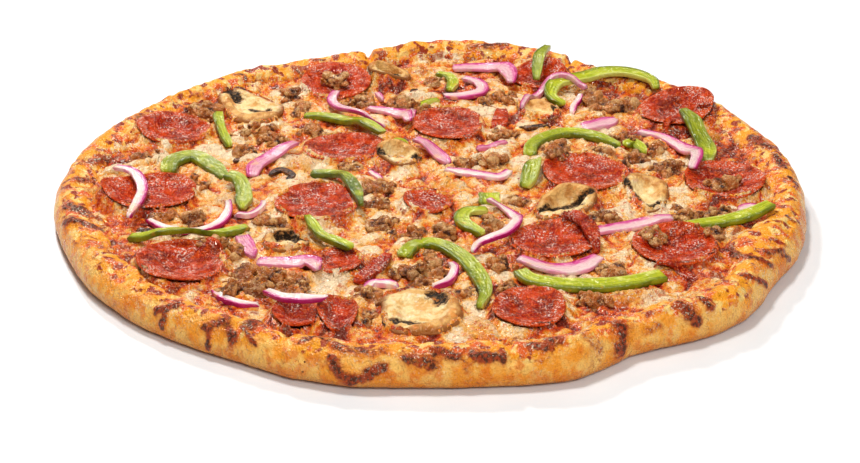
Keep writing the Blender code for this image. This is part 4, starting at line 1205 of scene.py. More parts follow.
@dataclass
class Crust:
    """The baked rim and base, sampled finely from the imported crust."""

    solid: Solid
    finish: bpy.types.Material
    scale: float
    radius: float = 178.0
    step: float = 1.15
    columns: int = 58
    hub_depth: float = 9.0
    hub_height: float = 9.0
    first_angle: float = -70.0
    last_angle: float = 181.0
    swell: float = 0.4
    ripple: float = 0.12
    lump: float = 1.2
    pebble: float = 0.6
    blister: float = 0.7
    inside_height: float = 7.5
    outside: float = 250.0
    edge_height: float = 5.0
    baked_from: float = 0.41
    fade: float = 12.0

    def build(self) -> None:
        """Build the crust's mesh."""
        rows = int(2 * math.pi * self.radius / (self.step * self.scale))
        columns = int(self.columns / self.scale)
        grid = self.sweep(rows, columns)
        points = grid.reshape(-1, 3)
        share = np.tile(np.linspace(0.0, 1.0, columns), rows)
        start = self.baked_from - 0.2 * waves(points, 17, 5.0)
        rough = np.clip((share - start) * 6.0, 0.0, 1.0)
        char = self.char(points)
        height = self.swell * waves(points, 18, 2.0) + self.ripple * waves(points, 5, 44.0)
        height += rough * self.lump * waves(points, 11, 12.0)
        height += rough * self.pebble * waves(points, 4, 40.0) + self.blister * char ** 2
        height *= np.minimum(share * self.fade, 1.0) * np.minimum((1.0 - share) * self.fade, 1.0)
        points = points + self.normals(grid).reshape(-1, 3) * (height * MM)[:, None]
        points[:, 2] = np.maximum(points[:, 2], 0.0)
        points[:, :2] = np.clip(points[:, :2], grid.min(axis=(0, 1))[:2], grid.max(axis=(0, 1))[:2])
        below, inside = len(points), len(points) + 1
        points = np.vstack([points, [[0.0, 0.0, 0.0], [0.0, 0.0, self.inside_height * MM]]])
        masks = {
            "inward": np.append(share, [0.0, 1.0]),
            "rough": np.append(rough, [0.0, 1.0]),
            "char": np.append(char, [0.0, 0.0]),
        }
        faces = self.faces(rows, columns, below, inside)
        add_piece("crust_baked", points, faces, self.finish, masks, "crust")

    def sweep(self, rows: int, columns: int) -> np.ndarray:
        """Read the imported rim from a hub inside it, all the way round.

        Args:
            rows: Number of places round the rim.
            columns: Number of directions at each, from below the rim over its crest to inside it.

        Returns:
            Points by row and column, a little smoothed.
        """
        grid = np.zeros((rows, columns, 3))
        angles = np.radians(np.linspace(self.first_angle, self.last_angle, columns))
        for i in range(rows):
            turn = 2 * math.pi * i / rows
            out = Vector((math.cos(turn), math.sin(turn), 0.0))
            start = out * (self.outside * MM) + UP * (self.edge_height * MM)
            edge = self.solid.toward(start, -out)
            hub = out * (Vector((edge.x, edge.y)).length - self.hub_depth * MM)
            hub.z = self.hub_height * MM
            for j, angle in enumerate(angles):
                hit = self.solid.toward(hub, out * math.cos(angle) + UP * math.sin(angle))
                grid[i, j] = hub if hit is None else hit
        for k in range(3):
            grid[:, :, k] = smooth_rows(grid[:, :, k], 3, True)
        return grid

    @staticmethod
    def faces(rows: int, columns: int, below: int, inside: int) -> Faces:
        """Join the rim's grid, the flat base below it and the base inside it.

        Args:
            rows: Number of places round the rim.
            columns: Number of points at each.
            below: Number of the point in the middle of the base's underside.
            inside: Number of the point in the middle of its upper side.

        Returns:
            The faces.
        """
        found, fans = [], []
        for i in range(rows):
            a, b = i * columns, ((i + 1) % rows) * columns
            found += [(a + j, b + j, b + j + 1, a + j + 1) for j in range(columns - 1)]
            fans.append((b, a, below))
            fans.append((a + columns - 1, b + columns - 1, inside))
        return found + fans

    @staticmethod
    def normals(grid: np.ndarray) -> np.ndarray:
        """Work out which way the rim's surface faces.

        Args:
            grid: Points by row and column.

        Returns:
            Outward unit normals in the same order.
        """
        along = np.roll(grid, -1, 0) - np.roll(grid, 1, 0)
        normal = np.cross(along, np.gradient(grid, axis=1))
        return normal / np.maximum(np.linalg.norm(normal, axis=2), 1e-9)[:, :, None]

    @staticmethod
    def char(points: np.ndarray) -> np.ndarray:
        """Work out where the crust is charred.

        Args:
            points: Places in metres, one row each.

        Returns:
            How charred each is, from 0 to 1.
        """
        total = np.zeros(len(points))
        wobble = waves(points, 4, 60.0)
        for width, strength, line in CHAR_MARKS:
            reach = away_from(points, line) / (0.5 * width * MM) + 0.5 * wobble
            total = np.maximum(total, strength * np.clip((2.6 - reach) / 2.0, 0.0, 1.0))
        return total


@dataclass
class Cheese:
    """The melted layer, which laps over the rim and rises against the toppings.

    Its heights are worked out on a square grid, of which the places inside the rim are kept.
    """

    crust: Solid
    toppings: Solid
    slices: Solid
    finish: bpy.types.Material
    scale: float
    step: float = 1.05
    reach: float = 185.0
    height: float = 11.2
    edge_height: float = 12.0
    lowest: float = 9.2
    foot: float = 8.2
    swell: float = 0.9
    lap: float = 8.0
    seam: float = 2.0
    fade: float = 10.0
    rise: float = 1.7
    bank: float = 0.7
    cover_gap: float = 2.5
    lid_gap: float = 0.5
    climb_height: float = 4.5
    wall_height: float = 8.8
    wall_radius: float = 158.0
    toast_from: float = 130.0
    toast_width: float = 30.0
    groove_width: float = 1.5
    groove_depth: float = 1.9

    def build(self) -> None:
        """Build the cheese's mesh."""
        step = self.step * self.scale * MM
        half = int(self.reach * MM / step)
        axis = (np.arange(2 * half + 1) - half) * step
        x, y = np.meshgrid(axis, axis, indexing="ij")
        radius = np.hypot(x, y)
        turn = np.degrees(np.arctan2(y, x)) % 360.0
        inner = np.interp(turn, np.arange(361), self.inner_radii(), period=360.0)
        keep = radius < inner + self.lap * MM
        base, lid, deck = self.read_solids(x, y, radius, inner, keep)
        cover = ((lid > 0) & (lid < base + self.cover_gap * MM)).astype(float)
        for cx, cy, width in CRUMBLES:
            cover[np.hypot(x - cx * MM, y - cy * MM) < 0.42 * width * MM] = 1.0
        rounds = int(round(7 / self.scale ** 2)) + 1
        near = smooth_rows(cover, rounds, False)
        flat = np.stack([x[keep], y[keep], np.zeros(keep.sum())], axis=1)
        grains, lobes = np.zeros(x.shape), np.zeros(x.shape)
        grains[keep] = waves(flat, 3.6, 63.0)
        lobes[keep] = np.minimum(0.69 + 0.5 * waves(flat, 15, 240.0), 0.86) + 0.1 * grains[keep]
        relief, lap = np.zeros(x.shape), np.zeros(x.shape)
        relief[keep] = self.relief(flat) + 0.35 * grains[keep]
        over = np.clip((radius - inner + self.seam * MM) / (self.fade * MM), 0.0, 1.0)
        lap[keep] = 0.8 + 1.7 * waves(flat, 9, 70.0) - 4.2 * over[keep] ** 1.3
        extra = self.extras(flat)
        level = base + relief * MM * (1.0 - 0.5 * over)
        level += near * (1.0 - cover) * self.rise * MM
        level[keep] += extra["height"] * MM
        on_rim = radius > inner - self.seam * MM
        level = np.where(on_rim, base + lap * MM + 0.4 * relief * MM, level)
        fall = (1.0 + 0.5 * grains) * step * keep
        slope = self.slope(deck, fall, int(round(5 / self.scale)))
        level = np.where(deck > 0, level, np.maximum(level, slope - self.bank * MM))
        low = np.where(lid > 0, np.minimum(level, lid - self.lid_gap * MM), level)
        edge = smooth_rows((deck > 0).astype(float), rounds, False) < lobes
        climb = (deck > 0) & (deck < base + self.climb_height * MM) & edge
        crest = deck + (0.5 + 0.4 * relief.clip(-1, 1)) * MM
        level = np.where(climb, np.maximum(level, crest), low)
        level = np.maximum(level, self.lowest * MM)
        masks = self.masks(flat, relief[keep], near[keep], over[keep], extra)
        points, faces, masks = self.close(
            np.stack([x[keep], y[keep], level[keep]], axis=1), self.quads(keep), masks
        )
        add_piece("cheese_melted", points, faces, self.finish, masks, "cheese")

    def inner_radii(self) -> np.ndarray:
        """Find the crust's inner wall.

        Returns:
            Its radius in metres for each whole degree.
        """
        found = []
        middle = UP * (self.wall_height * MM)
        for degree in range(361):
            turn = math.radians(degree)
            hit = self.crust.toward(middle, Vector((math.cos(turn), math.sin(turn), 0.0)))
            radius = self.wall_radius * MM if hit is None else Vector((hit.x, hit.y)).length
            found.append(radius)
        return np.array(found)

    def read_solids(
        self, x: np.ndarray, y: np.ndarray, radius: np.ndarray, inner: np.ndarray, keep: np.ndarray
    ) -> tuple[np.ndarray, np.ndarray, np.ndarray]:
        """Read the heights that the sheet follows.

        Args:
            x: Places on the grid.
            y: The same, away from the camera.
            radius: Their distance from the middle.
            inner: The radius of the crust's inner wall there.
            keep: Which places the sheet covers.

        Returns:
            Heights of what the sheet lies on, of the toppings' undersides and of the slices' tops,
            the last two 0 where there is none.
        """
        base, lid, deck = np.zeros(x.shape), np.zeros(x.shape), np.zeros(x.shape)
        for i, j in zip(*np.nonzero(keep)):
            px, py = x[i, j], y[i, j]
            base[i, j] = self.bare(px, py, min(radius[i, j] / inner[i, j], 1.0))
            if radius[i, j] > inner[i, j]:
                rim = self.crust.top(px, py)
                base[i, j] = self.edge_height * MM if rim is None else rim
            under = self.toppings.bottom(px, py)
            if under is not None:
                lid[i, j] = under
                deck[i, j] = self.slices.top(px, py) or 0.0
        return base, lid, deck

    def bare(self, x: float, y: float, share: float) -> float:
        """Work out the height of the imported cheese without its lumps.

        Args:
            x: The place in metres.
            y: The same, away from the camera.
            share: How far out it is, 1 at the crust's inner wall.

        Returns:
            The height in metres.
        """
        px, py = x / MM, y / MM
        wave = noise.noise(Vector((px / 30, py / 30, 21.0)))
        wave += 0.5 * noise.noise(Vector((px / 14, py / 14, 33.0)))
        lift = (self.edge_height - self.height) * share ** 8
        return (self.height + lift + self.swell * wave * (1.0 - 0.7 * share ** 8)) * MM

    @staticmethod
    def relief(flat: np.ndarray) -> np.ndarray:
        """Make lumps and folds with creases between them.

        Args:
            flat: Places on the plane in metres.

        Returns:
            Heights in millimetres.
        """
        lumps = np.minimum(np.abs(waves(flat, 21, 3.0)) * 2.8, 1.0) ** 0.6
        folds = np.minimum(np.abs(waves(flat, 10, 33.0)) * 2.8, 1.0) ** 0.7
        return 2.3 * (lumps - 0.6) + 1.3 * (folds - 0.6)

    @staticmethod
    def slope(deck: np.ndarray, fall: np.ndarray, rounds: int) -> np.ndarray:
        """Let the tops of the slices slope down around them.

        Args:
            deck: Heights of their tops, 0 where there is none.
            fall: How much the slope drops from one place to the next.
            rounds: How many places it reaches.

        Returns:
            Heights of the tops and of the slope around them.
        """
        slope = deck.copy()
        for _ in range(rounds):
            sides = [np.roll(slope, way, axis) for axis in (0, 1) for way in (1, -1)]
            side = np.maximum.reduce(sides)
            slope = np.where(slope > 0, slope, np.maximum(side - fall, 0.0))
        return slope

    def extras(self, flat: np.ndarray) -> Masks:
        """Work out the swellings, cords, patches and cuts.

        Args:
            flat: Places on the plane in metres.

        Returns:
            Height in millimetres, tone, glaze and cut, for each place.
        """
        height, tone = np.zeros(len(flat)), np.zeros(len(flat))
        glaze, cut = np.zeros(len(flat)), np.zeros(len(flat))
        wobble = waves(flat, 6, 200.0)
        for cx, cy, length, width, lift, turn in SWELLINGS:
            reach = oval(flat, (cx, cy), length, width, turn) + 0.35 * wobble
            dome = np.sqrt(np.clip(1.0 - reach, 0.0, 1.0))
            height = np.maximum(height, lift * dome)
            glaze = np.maximum(glaze, dome)
        for width, lift, line in CORDS:
            away = away_from(flat, line) / (0.5 * width * MM) + 0.3 * wobble
            dome = np.sqrt(np.clip(1.0 - away ** 2, 0.0, 1.0))
            height = np.maximum(height, lift * dome)
            tone = np.maximum(tone, 0.8 * dome)
        for kind, strength, cx, cy, length, width, turn in PATCHES:
            reach = oval(flat, (cx, cy), length, width, turn) + 0.8 * wobble
            tone = tone + kind * strength * np.clip(1.5 - reach, 0.0, 1.0)
        for line in CUTS:
            away = away_from(flat, line) / MM + 0.8 * wobble
            groove = np.exp(-((away / self.groove_width) ** 2))
            height = height - self.groove_depth * groove
            cut = np.maximum(cut, groove)
        return {"height": height, "tone": tone, "glaze": glaze, "cut": cut}

    def masks(
        self, flat: np.ndarray, relief: np.ndarray, near: np.ndarray, over: np.ndarray, extra: Masks
    ) -> Masks:
        """Work out the masks that colour the cheese.

        Args:
            flat: Places on the plane in metres.
            relief: Height of the lumps in millimetres.
            near: How near a topping each place is.
            over: How far over the rim it is.
            extra: What extras gives.

        Returns:
            How high and how creamy each place is, and how glazed and toasted.
        """
        past = np.hypot(flat[:, 0], flat[:, 1]) - self.toast_from * MM
        edge = np.clip(past / (self.toast_width * MM), 0.0, 1.0)
        # Height on the sheet, which the finish paints darker and redder low down, partly oil and
        # partly painted shade.
        rise = np.clip(0.56 + 0.24 * relief + 0.14 * waves(flat, 10, 120.0), 0.0, 1.0)
        tone = extra["tone"] + 0.9 * waves(flat, 22, 90.0, 3) - 0.45 * edge - 0.7 * extra["cut"]
        tone = tone - 0.5 * (near * (1.0 - near) * 4.0)
        tone = np.clip(0.5 + 0.5 * tone, 0.0, 1.0)
        toast = np.clip(1.2 * waves(flat, 8, 160.0) + 0.5 * edge - 0.3, 0.0, 1.0)
        toast = np.maximum(toast, over * 0.55)
        return {"rise": rise, "tone": tone, "glaze": extra["glaze"], "toast": toast}

    @staticmethod
    def quads(keep: np.ndarray) -> Faces:
        """Join the places that are kept.

        Args:
            keep: Which places of the grid are kept.

        Returns:
            Faces between them, by their order among those kept.
        """
        number = np.full(keep.shape, -1)
        number[keep] = np.arange(keep.sum())
        corners = (
            (slice(None, -1), slice(None, -1)), (slice(1, None), slice(None, -1)),
            (slice(1, None), slice(1, None)), (slice(None, -1), slice(1, None)),
        )
        whole = np.logical_and.reduce([keep[corner] for corner in corners])
        return np.stack([number[corner][whole] for corner in corners], axis=1).tolist()

    def close(
        self, points: np.ndarray, faces: Faces, masks: Masks
    ) -> tuple[np.ndarray, Faces, Masks]:
        """Close the sheet with a skirt down into the crust and one flat face below.

        Args:
            points: The sheet's points.
            faces: Its faces.
            masks: Its masks.

        Returns:
            Points, faces and masks of the closed form, without points that no face has.
        """
        edges: dict[tuple[int, int], tuple[int, int] | None] = {}
        for face in faces:
            for a, b in zip(face, face[1:] + face[:1]):
                key = (min(a, b), max(a, b))
                edges[key] = None if key in edges else (a, b)
        border = dict(edge for edge in edges.values() if edge)
        used = sorted({i for face in faces for i in face})
        rename = {old: new for new, old in enumerate(used)}
        faces = [tuple(rename[i] for i in face) for face in faces]
        ring = [next(iter(border))]
        while border[ring[-1]] != ring[0]:
            ring.append(border[ring[-1]])
        top = [rename[i] for i in ring]
        points = points[used]
        skirt = points[top]
        skirt[:, 2] = self.foot * MM
        base, count = len(points), len(top)
        for i in range(count):
            j = (i + 1) % count
            faces.append((top[j], top[i], base + i, base + j))
        faces.append(tuple(base + count - 1 - i for i in range(count)))
        closed = {key: np.append(values[used], values[used][top]) for key, values in masks.items()}
        return np.vstack([points, skirt]), faces, closed


def curve(path: Line, spacing: float) -> np.ndarray:
    """Draw a smooth line through knots.

    Args:
        path: The knots in millimetres.
        spacing: How far apart the line's points are, in millimetres.

    Returns:
        Evenly spaced points in metres.
    """
    knots = [np.array(p, dtype=float) * MM for p in path]
    knots = [2 * knots[0] - knots[1]] + knots + [2 * knots[-1] - knots[-2]]
    dense = []
    for i in range(1, len(knots) - 2):
        a, b, c, d = knots[i - 1: i + 3]
        for t in np.linspace(0.0, 1.0, 24, endpoint=False):
            dense.append(
                0.5 * (2 * b + (c - a) * t + (2 * a - 5 * b + 4 * c - d) * t * t
                       + (3 * b - a - 3 * c + d) * t ** 3)
            )
    dense.append(knots[-2])
    line = np.array(dense)
    reach = np.append(0.0, np.cumsum(np.linalg.norm(np.diff(line, axis=0), axis=1)))
    count = max(int(reach[-1] / (spacing * MM)), 6)
    want = np.linspace(0.0, reach[-1], count + 1)
    return np.stack([np.interp(want, reach, line[:, k]) for k in (0, 1)], axis=1)


@dataclass
class Strip:
    """A strip of pepper or onion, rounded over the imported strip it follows."""

    name: str
    width: float
    first: float
    last: float
    path: Line
    solid: Solid
    seed: int
    finish: bpy.types.Material
    scale: float
    slot: str | None
    stands_for: str | None = None
    plain_height: float | None = None
    lift: float = 0.0
    boxy: float = 5.5
    around: int = 22
    channel: float = 0.8
    spacing: float = 1.2
    end_length: float = 1.4
    sink: float = 0.6

    def build(self) -> None:
        """Build the strip."""
        spacing = self.spacing * self.scale
        line = curve(self.path, spacing)
        count = len(line)
        ahead = np.gradient(line, axis=0)
        ahead /= np.linalg.norm(ahead, axis=1)[:, None]
        side = np.stack([ahead[:, 1], -ahead[:, 0]], axis=1)
        half = self.half_widths(count)
        rounds = max(int(4 / self.scale), 1)
        middle, thick, tilt = self.levels(line, side, half, rounds).T
        section = self.section()
        skin = 1.0 if Kind.of(self.name) is Kind.PEPPER or self.node in SKIN_RIGHT else -1.0
        points, across, along = [], [], []
        for i in range(count):
            inset = min(i, count - 1 - i) / max(self.end_length / spacing, 1.0)
            cap = math.sqrt(max(1 - (1 - min(inset, 1.0)) ** 2, 0.04))
            for u, v in section:
                spot = line[i] + side[i] * (u * half[i] * (0.6 + 0.4 * cap))
                height = middle[i] + tilt[i] * u + v * 0.5 * thick[i] * cap
                height -= self.channel * MM * max(v, 0.0) * (1.0 - abs(u)) * cap
                points.append((spot[0], spot[1], height))
                across.append(u * skin)
                along.append(i * spacing + 40.0 * self.seed)
        tone = {**PINK, **DARK}.get(self.node, 0.0)
        masks = {
            "across": np.array(across),
            "along": np.array(along),
            "tone": np.full(len(points), tone),
        }
        add_piece(
            self.name, np.array(points), self.faces(count), self.finish, masks,
            self.stands_for,
        )

    @property
    def node(self) -> str:
        """Return the strip's name in the tables."""
        return self.name.removesuffix("_strip")

    def half_widths(self, count: int) -> np.ndarray:
        """Work out the strip's half width, narrower at its ends.

        Args:
            count: Number of places along it.

        Returns:
            Half of the width at each, in metres.
        """
        t = np.linspace(0.0, 1.0, count)
        start = self.first + (1 - self.first) * t * 4
        end = self.last + (1 - self.last) * (1 - t) * 4
        taper = np.minimum(1.0, np.minimum(start, end))
        phase = random.Random(self.seed).uniform(0, 6.28)
        return 0.5 * self.width * MM * taper * (1 + 0.05 * np.sin(t * 9 + phase))

    def section(self) -> list[tuple[float, float]]:
        """Work out the strip's cross-section, a box with round corners.

        Returns:
            Points around it, from -1 to 1 both ways.
        """
        power = 2.0 / self.boxy
        found = []
        for k in range(self.around):
            turn = 2 * math.pi * k / self.around
            c, s = math.cos(turn), math.sin(turn)
            found.append((math.copysign(abs(c) ** power, c), math.copysign(abs(s) ** power, s)))
        return found

    def faces(self, count: int) -> Faces:
        """Join the rings of points and close both ends.

        Args:
            count: Number of rings.

        Returns:
            The faces.
        """
        found = []
        for i in range(count - 1):
            a, b = i * self.around, (i + 1) * self.around
            for k in range(self.around):
                n = (k + 1) % self.around
                found.append((a + k, a + n, b + n, b + k))
        found.append(tuple(range(self.around))[::-1])
        found.append(tuple((count - 1) * self.around + k for k in range(self.around)))
        return found

    def levels(
        self, line: np.ndarray, side: np.ndarray, half: np.ndarray, rounds: int
    ) -> np.ndarray:
        """Read the solid all along the strip and smooth what is found.

        Args:
            line: Places along the strip.
            side: The direction across it at each.
            half: Its half width at each.
            rounds: How much to smooth.

        Returns:
            Middle height, thickness and tilt at each place, in metres.
        """
        found = np.array([self.level(*place) for place in zip(line, side, half)])
        if self.lift:
            for _ in range(rounds):
                beside = np.maximum(found[2:, 0], found[:-2, 0])
                found[1:-1, 0] = np.maximum(found[1:-1, 0], beside)
        for _ in range(rounds):
            found[1:-1] = 0.5 * found[1:-1] + 0.25 * (found[2:] + found[:-2])
        return found

    def level(self, spot: np.ndarray, side: np.ndarray, half: float) -> tuple[float, float, float]:
        """Read the solid at one place of the strip.

        Args:
            spot: The place.
            side: The direction across the strip.
            half: Its half width.

        Returns:
            Middle height, thickness and tilt, in metres.
        """
        tops, bottoms = [], []
        for offset in (0.0, 0.75, -0.75):
            x, y = spot + side * half * offset
            top, bottom = self.solid.top(x, y), self.solid.bottom(x, y)
            if self.plain_height is not None and top is not None:
                top += self.lift * MM
                bottom = top - (self.plain_height + self.sink) * MM
            tops.append(top)
            bottoms.append(bottom)
        if tops[0] is None or bottoms[0] is None:
            return NO_STRIP
        tilt = 0.0
        if self.plain_height is None and tops[1] and tops[2]:
            tilt = ((tops[1] + bottoms[1]) - (tops[2] + bottoms[2])) / 4
        return ((tops[0] + bottoms[0]) / 2, tops[0] - bottoms[0], tilt)


@dataclass
class Slice:
    """A slice over a packed slice, with an upper and a lower skin on spokes from its middle."""

    name: str
    solid: Solid
    seed: int
    finish: bpy.types.Material
    scale: float
    middle_share: float = field(default=0.5, kw_only=True)

    def skins(
        self, outline: np.ndarray, centre: np.ndarray, rings: int, rounds: int
    ) -> tuple[np.ndarray, Faces, np.ndarray, np.ndarray]:
        """Build both skins.

        Args:
            outline: Points round the slice.
            centre: The middle of the slice.
            rings: Number of rings from the middle to the edge.
            rounds: How much the skins are smoothed.

        Returns:
            Points, faces, how near the edge each point is, and which are on top.
        """
        count = len(outline)
        shares = np.sin(np.linspace(0.04, 1.0, rings) * math.pi / 2)
        spots = centre + (outline[:, None] - centre) * shares[:, None]
        heights = np.array([
            [self.heights(centre, corner - centre, share) for share in shares] for corner in outline
        ])
        top = smooth_rows(heights[:, :, 0], rounds, True)
        bottom = smooth_rows(heights[:, :, 1], rounds, True)
        middle = 0.5 * (top + bottom)
        pinch = np.sqrt(np.clip(1.0 - np.clip((shares - 0.93) / 0.07, 0.0, 1.0) ** 2, 0.05, 1.0))
        top = middle + (top - middle) * pinch
        bottom = middle + (bottom - middle) * pinch
        points = np.vstack([
            np.dstack([spots, top]).reshape(-1, 3),
            np.dstack([spots, bottom]).reshape(-1, 3),
            [[*centre, top[:, 0].mean()], [*centre, bottom[:, 0].mean()]],
        ])
        size = count * rings
        edge = np.concatenate([np.tile(shares, 2 * count), [0.0, 0.0]])
        on_top = np.concatenate([np.ones(size), np.zeros(size), [1.0, 0.0]])
        return points, self.faces(count, rings), edge, on_top

    def heights(self, centre: np.ndarray, spoke: np.ndarray, share: float) -> tuple[float, float]:
        """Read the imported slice's outer half on a spoke, further in where nothing is met.

        Args:
            centre: The middle of the slice.
            spoke: From there to its edge.
            share: How far out on the spoke to read.

        Returns:
            The heights of its top and underside, which are set ones in the inner half.
        """
        while share > self.middle_share:
            place = centre + spoke * share
            high, low = self.solid.top(*place), self.solid.bottom(*place)
            if high is not None:
                return (high, low)
            share -= 0.03
        return SLICE_MIDDLE

    @staticmethod
    def faces(count: int, rings: int) -> Faces:
        """Join both skins at the edge and close them in the middle.

        Args:
            count: Number of spokes.
            rings: Number of rings from the middle to the edge.

        Returns:
            The faces.
        """
        found = []
        size = count * rings
        for i in range(count):
            n = (i + 1) % count
            for j in range(rings - 1):
                a, b = i * rings + j, n * rings + j
                found.append((a, a + 1, b + 1, b))
                found.append((size + a, size + b, size + b + 1, size + a + 1))
            a, b = i * rings, n * rings
            found.append((2 * size, a, b))
            found.append((2 * size + 1, size + b, size + a))
            a, b = a + rings - 1, b + rings - 1
            found.append((a, size + a, size + b, b))
        return found


@dataclass
class Pepperoni(Slice):
    """A cupped slice of cured sausage."""

    x: float
    y: float
    across: float
    along: float
    spokes: int = 84
    rings: int = 20
    relief: float = 0.35

    def build(self) -> None:
        """Build the slice."""
        centre = np.array((self.x, self.y)) * MM
        points, faces, edge, on_top = self.skins(
            self.outline(int(self.spokes / self.scale)), centre, int(self.rings / self.scale),
            max(int(3 / self.scale), 1),
        )
        bumps = waves(points, 3.0, 5.0 + self.seed) * self.relief
        points[:, 2] += bumps * MM * (1.0 - edge ** 6) * on_top
        add_piece(
            self.name + "_slice", points, faces, self.finish, {"edge": edge}, self.name
        )

    def outline(self, count: int) -> np.ndarray:
        """Draw the slice's edge, an oval that is a little uneven.

        Args:
            count: Number of points.

        Returns:
            The points in metres.
        """
        rng = random.Random(self.seed)
        phase = [rng.uniform(0, 6.28) for _ in range(3)]
        found = []
        for i in range(count):
            turn = 2 * math.pi * i / count
            swell = 1.0
            for size, ripples, shift in zip((0.02, 0.014, 0.006), (2, 5, 11), phase):
                swell += size * math.sin(ripples * turn + shift)
            found.append((
                (self.x + self.across * swell * math.cos(turn)) * MM,
                (self.y + self.along * swell * math.sin(turn)) * MM,
            ))
        return np.array(found)


@dataclass
class Mushroom(Slice):
    """A cut slice of mushroom with its gills."""

    outline: Line
    gills: Sequence
    cap: Sequence
    rings: int = 18
    thinnest: float = 0.4
    fold: float = 0.8
    cap_height: float = 1.1
    sunk: float = 0.9
    gill_depth: float = 1.4

    def build(self) -> None:
        """Build the slice."""
        outline = self.smooth_outline()
        centre = outline.mean(axis=0)
        ragged = waves(np.column_stack([outline, np.zeros(len(outline))]), 5.0, 3.0 * self.seed)
        outline = centre + (outline - centre) * (0.99 + 0.05 * ragged)[:, None]
        points, faces, edge, on_top = self.skins(
            outline, centre, int(self.rings / self.scale), max(int(4 / self.scale), 1)
        )
        wobble = waves(points, 4.0, 25.0 + self.seed)
        dark = np.zeros(len(points))
        for width, stroke in self.gills:
            reach = away_from(points[:, :2], stroke) / (0.5 * width * MM) + 0.6 * wobble
            dark = np.maximum(dark, np.clip(1.5 - reach, 0.0, 1.0))
        width, stroke = self.cap
        reach = away_from(points[:, :2], stroke) / (0.5 * width * MM) + 0.25 * wobble
        cap = np.sqrt(np.clip(1.25 - reach ** 2, 0.0, 1.0))
        height = self.fold * waves(points, 7.0, 15.0 + self.seed)
        height += self.cap_height * cap - self.sunk - self.gill_depth * dark
        points[:, 2] += height * MM * on_top * (1.0 - edge ** 10)
        self.keep_thick(points, edge)
        masks = {"edge": edge, "gills": dark * on_top, "cap": cap, "above": on_top}
        add_piece(
            self.name + "_slice", points, faces, self.finish, masks, self.name
        )

    def smooth_outline(self) -> np.ndarray:
        """Draw the slice's edge through the corners of its outline.

        Returns:
            Points once round the slice, in metres.
        """
        loop = list(self.outline)
        area = sum(a[0] * b[1] - b[0] * a[1] for a, b in zip(loop, loop[1:] + loop[:1]))
        if area < 0:
            loop.reverse()
        line = curve(loop[-2:] + loop + loop[:2], self.scale)
        away = np.linalg.norm(line - np.array(loop[0]) * MM, axis=1)
        start = int(np.argmin(away[: len(line) // 3]))
        tail = len(line) // 2
        return line[start: tail + int(np.argmin(away[tail:]))]

    def keep_thick(self, points: np.ndarray, edge: np.ndarray) -> None:
        """Keep the upper skin above the lower one.

        Args:
            points: Points of the upper skin, the lower skin and both middles, which are changed.
            edge: How near the edge each is.
        """
        half = len(points) // 2 - 1
        floor = points[half:-2, 2] + self.thinnest * MM * (1.0 - edge[:half] ** 6)
        points[:half, 2] = np.maximum(points[:half, 2], floor)
        points[-2, 2] = max(points[-2, 2], points[-1, 2] + self.thinnest * MM)


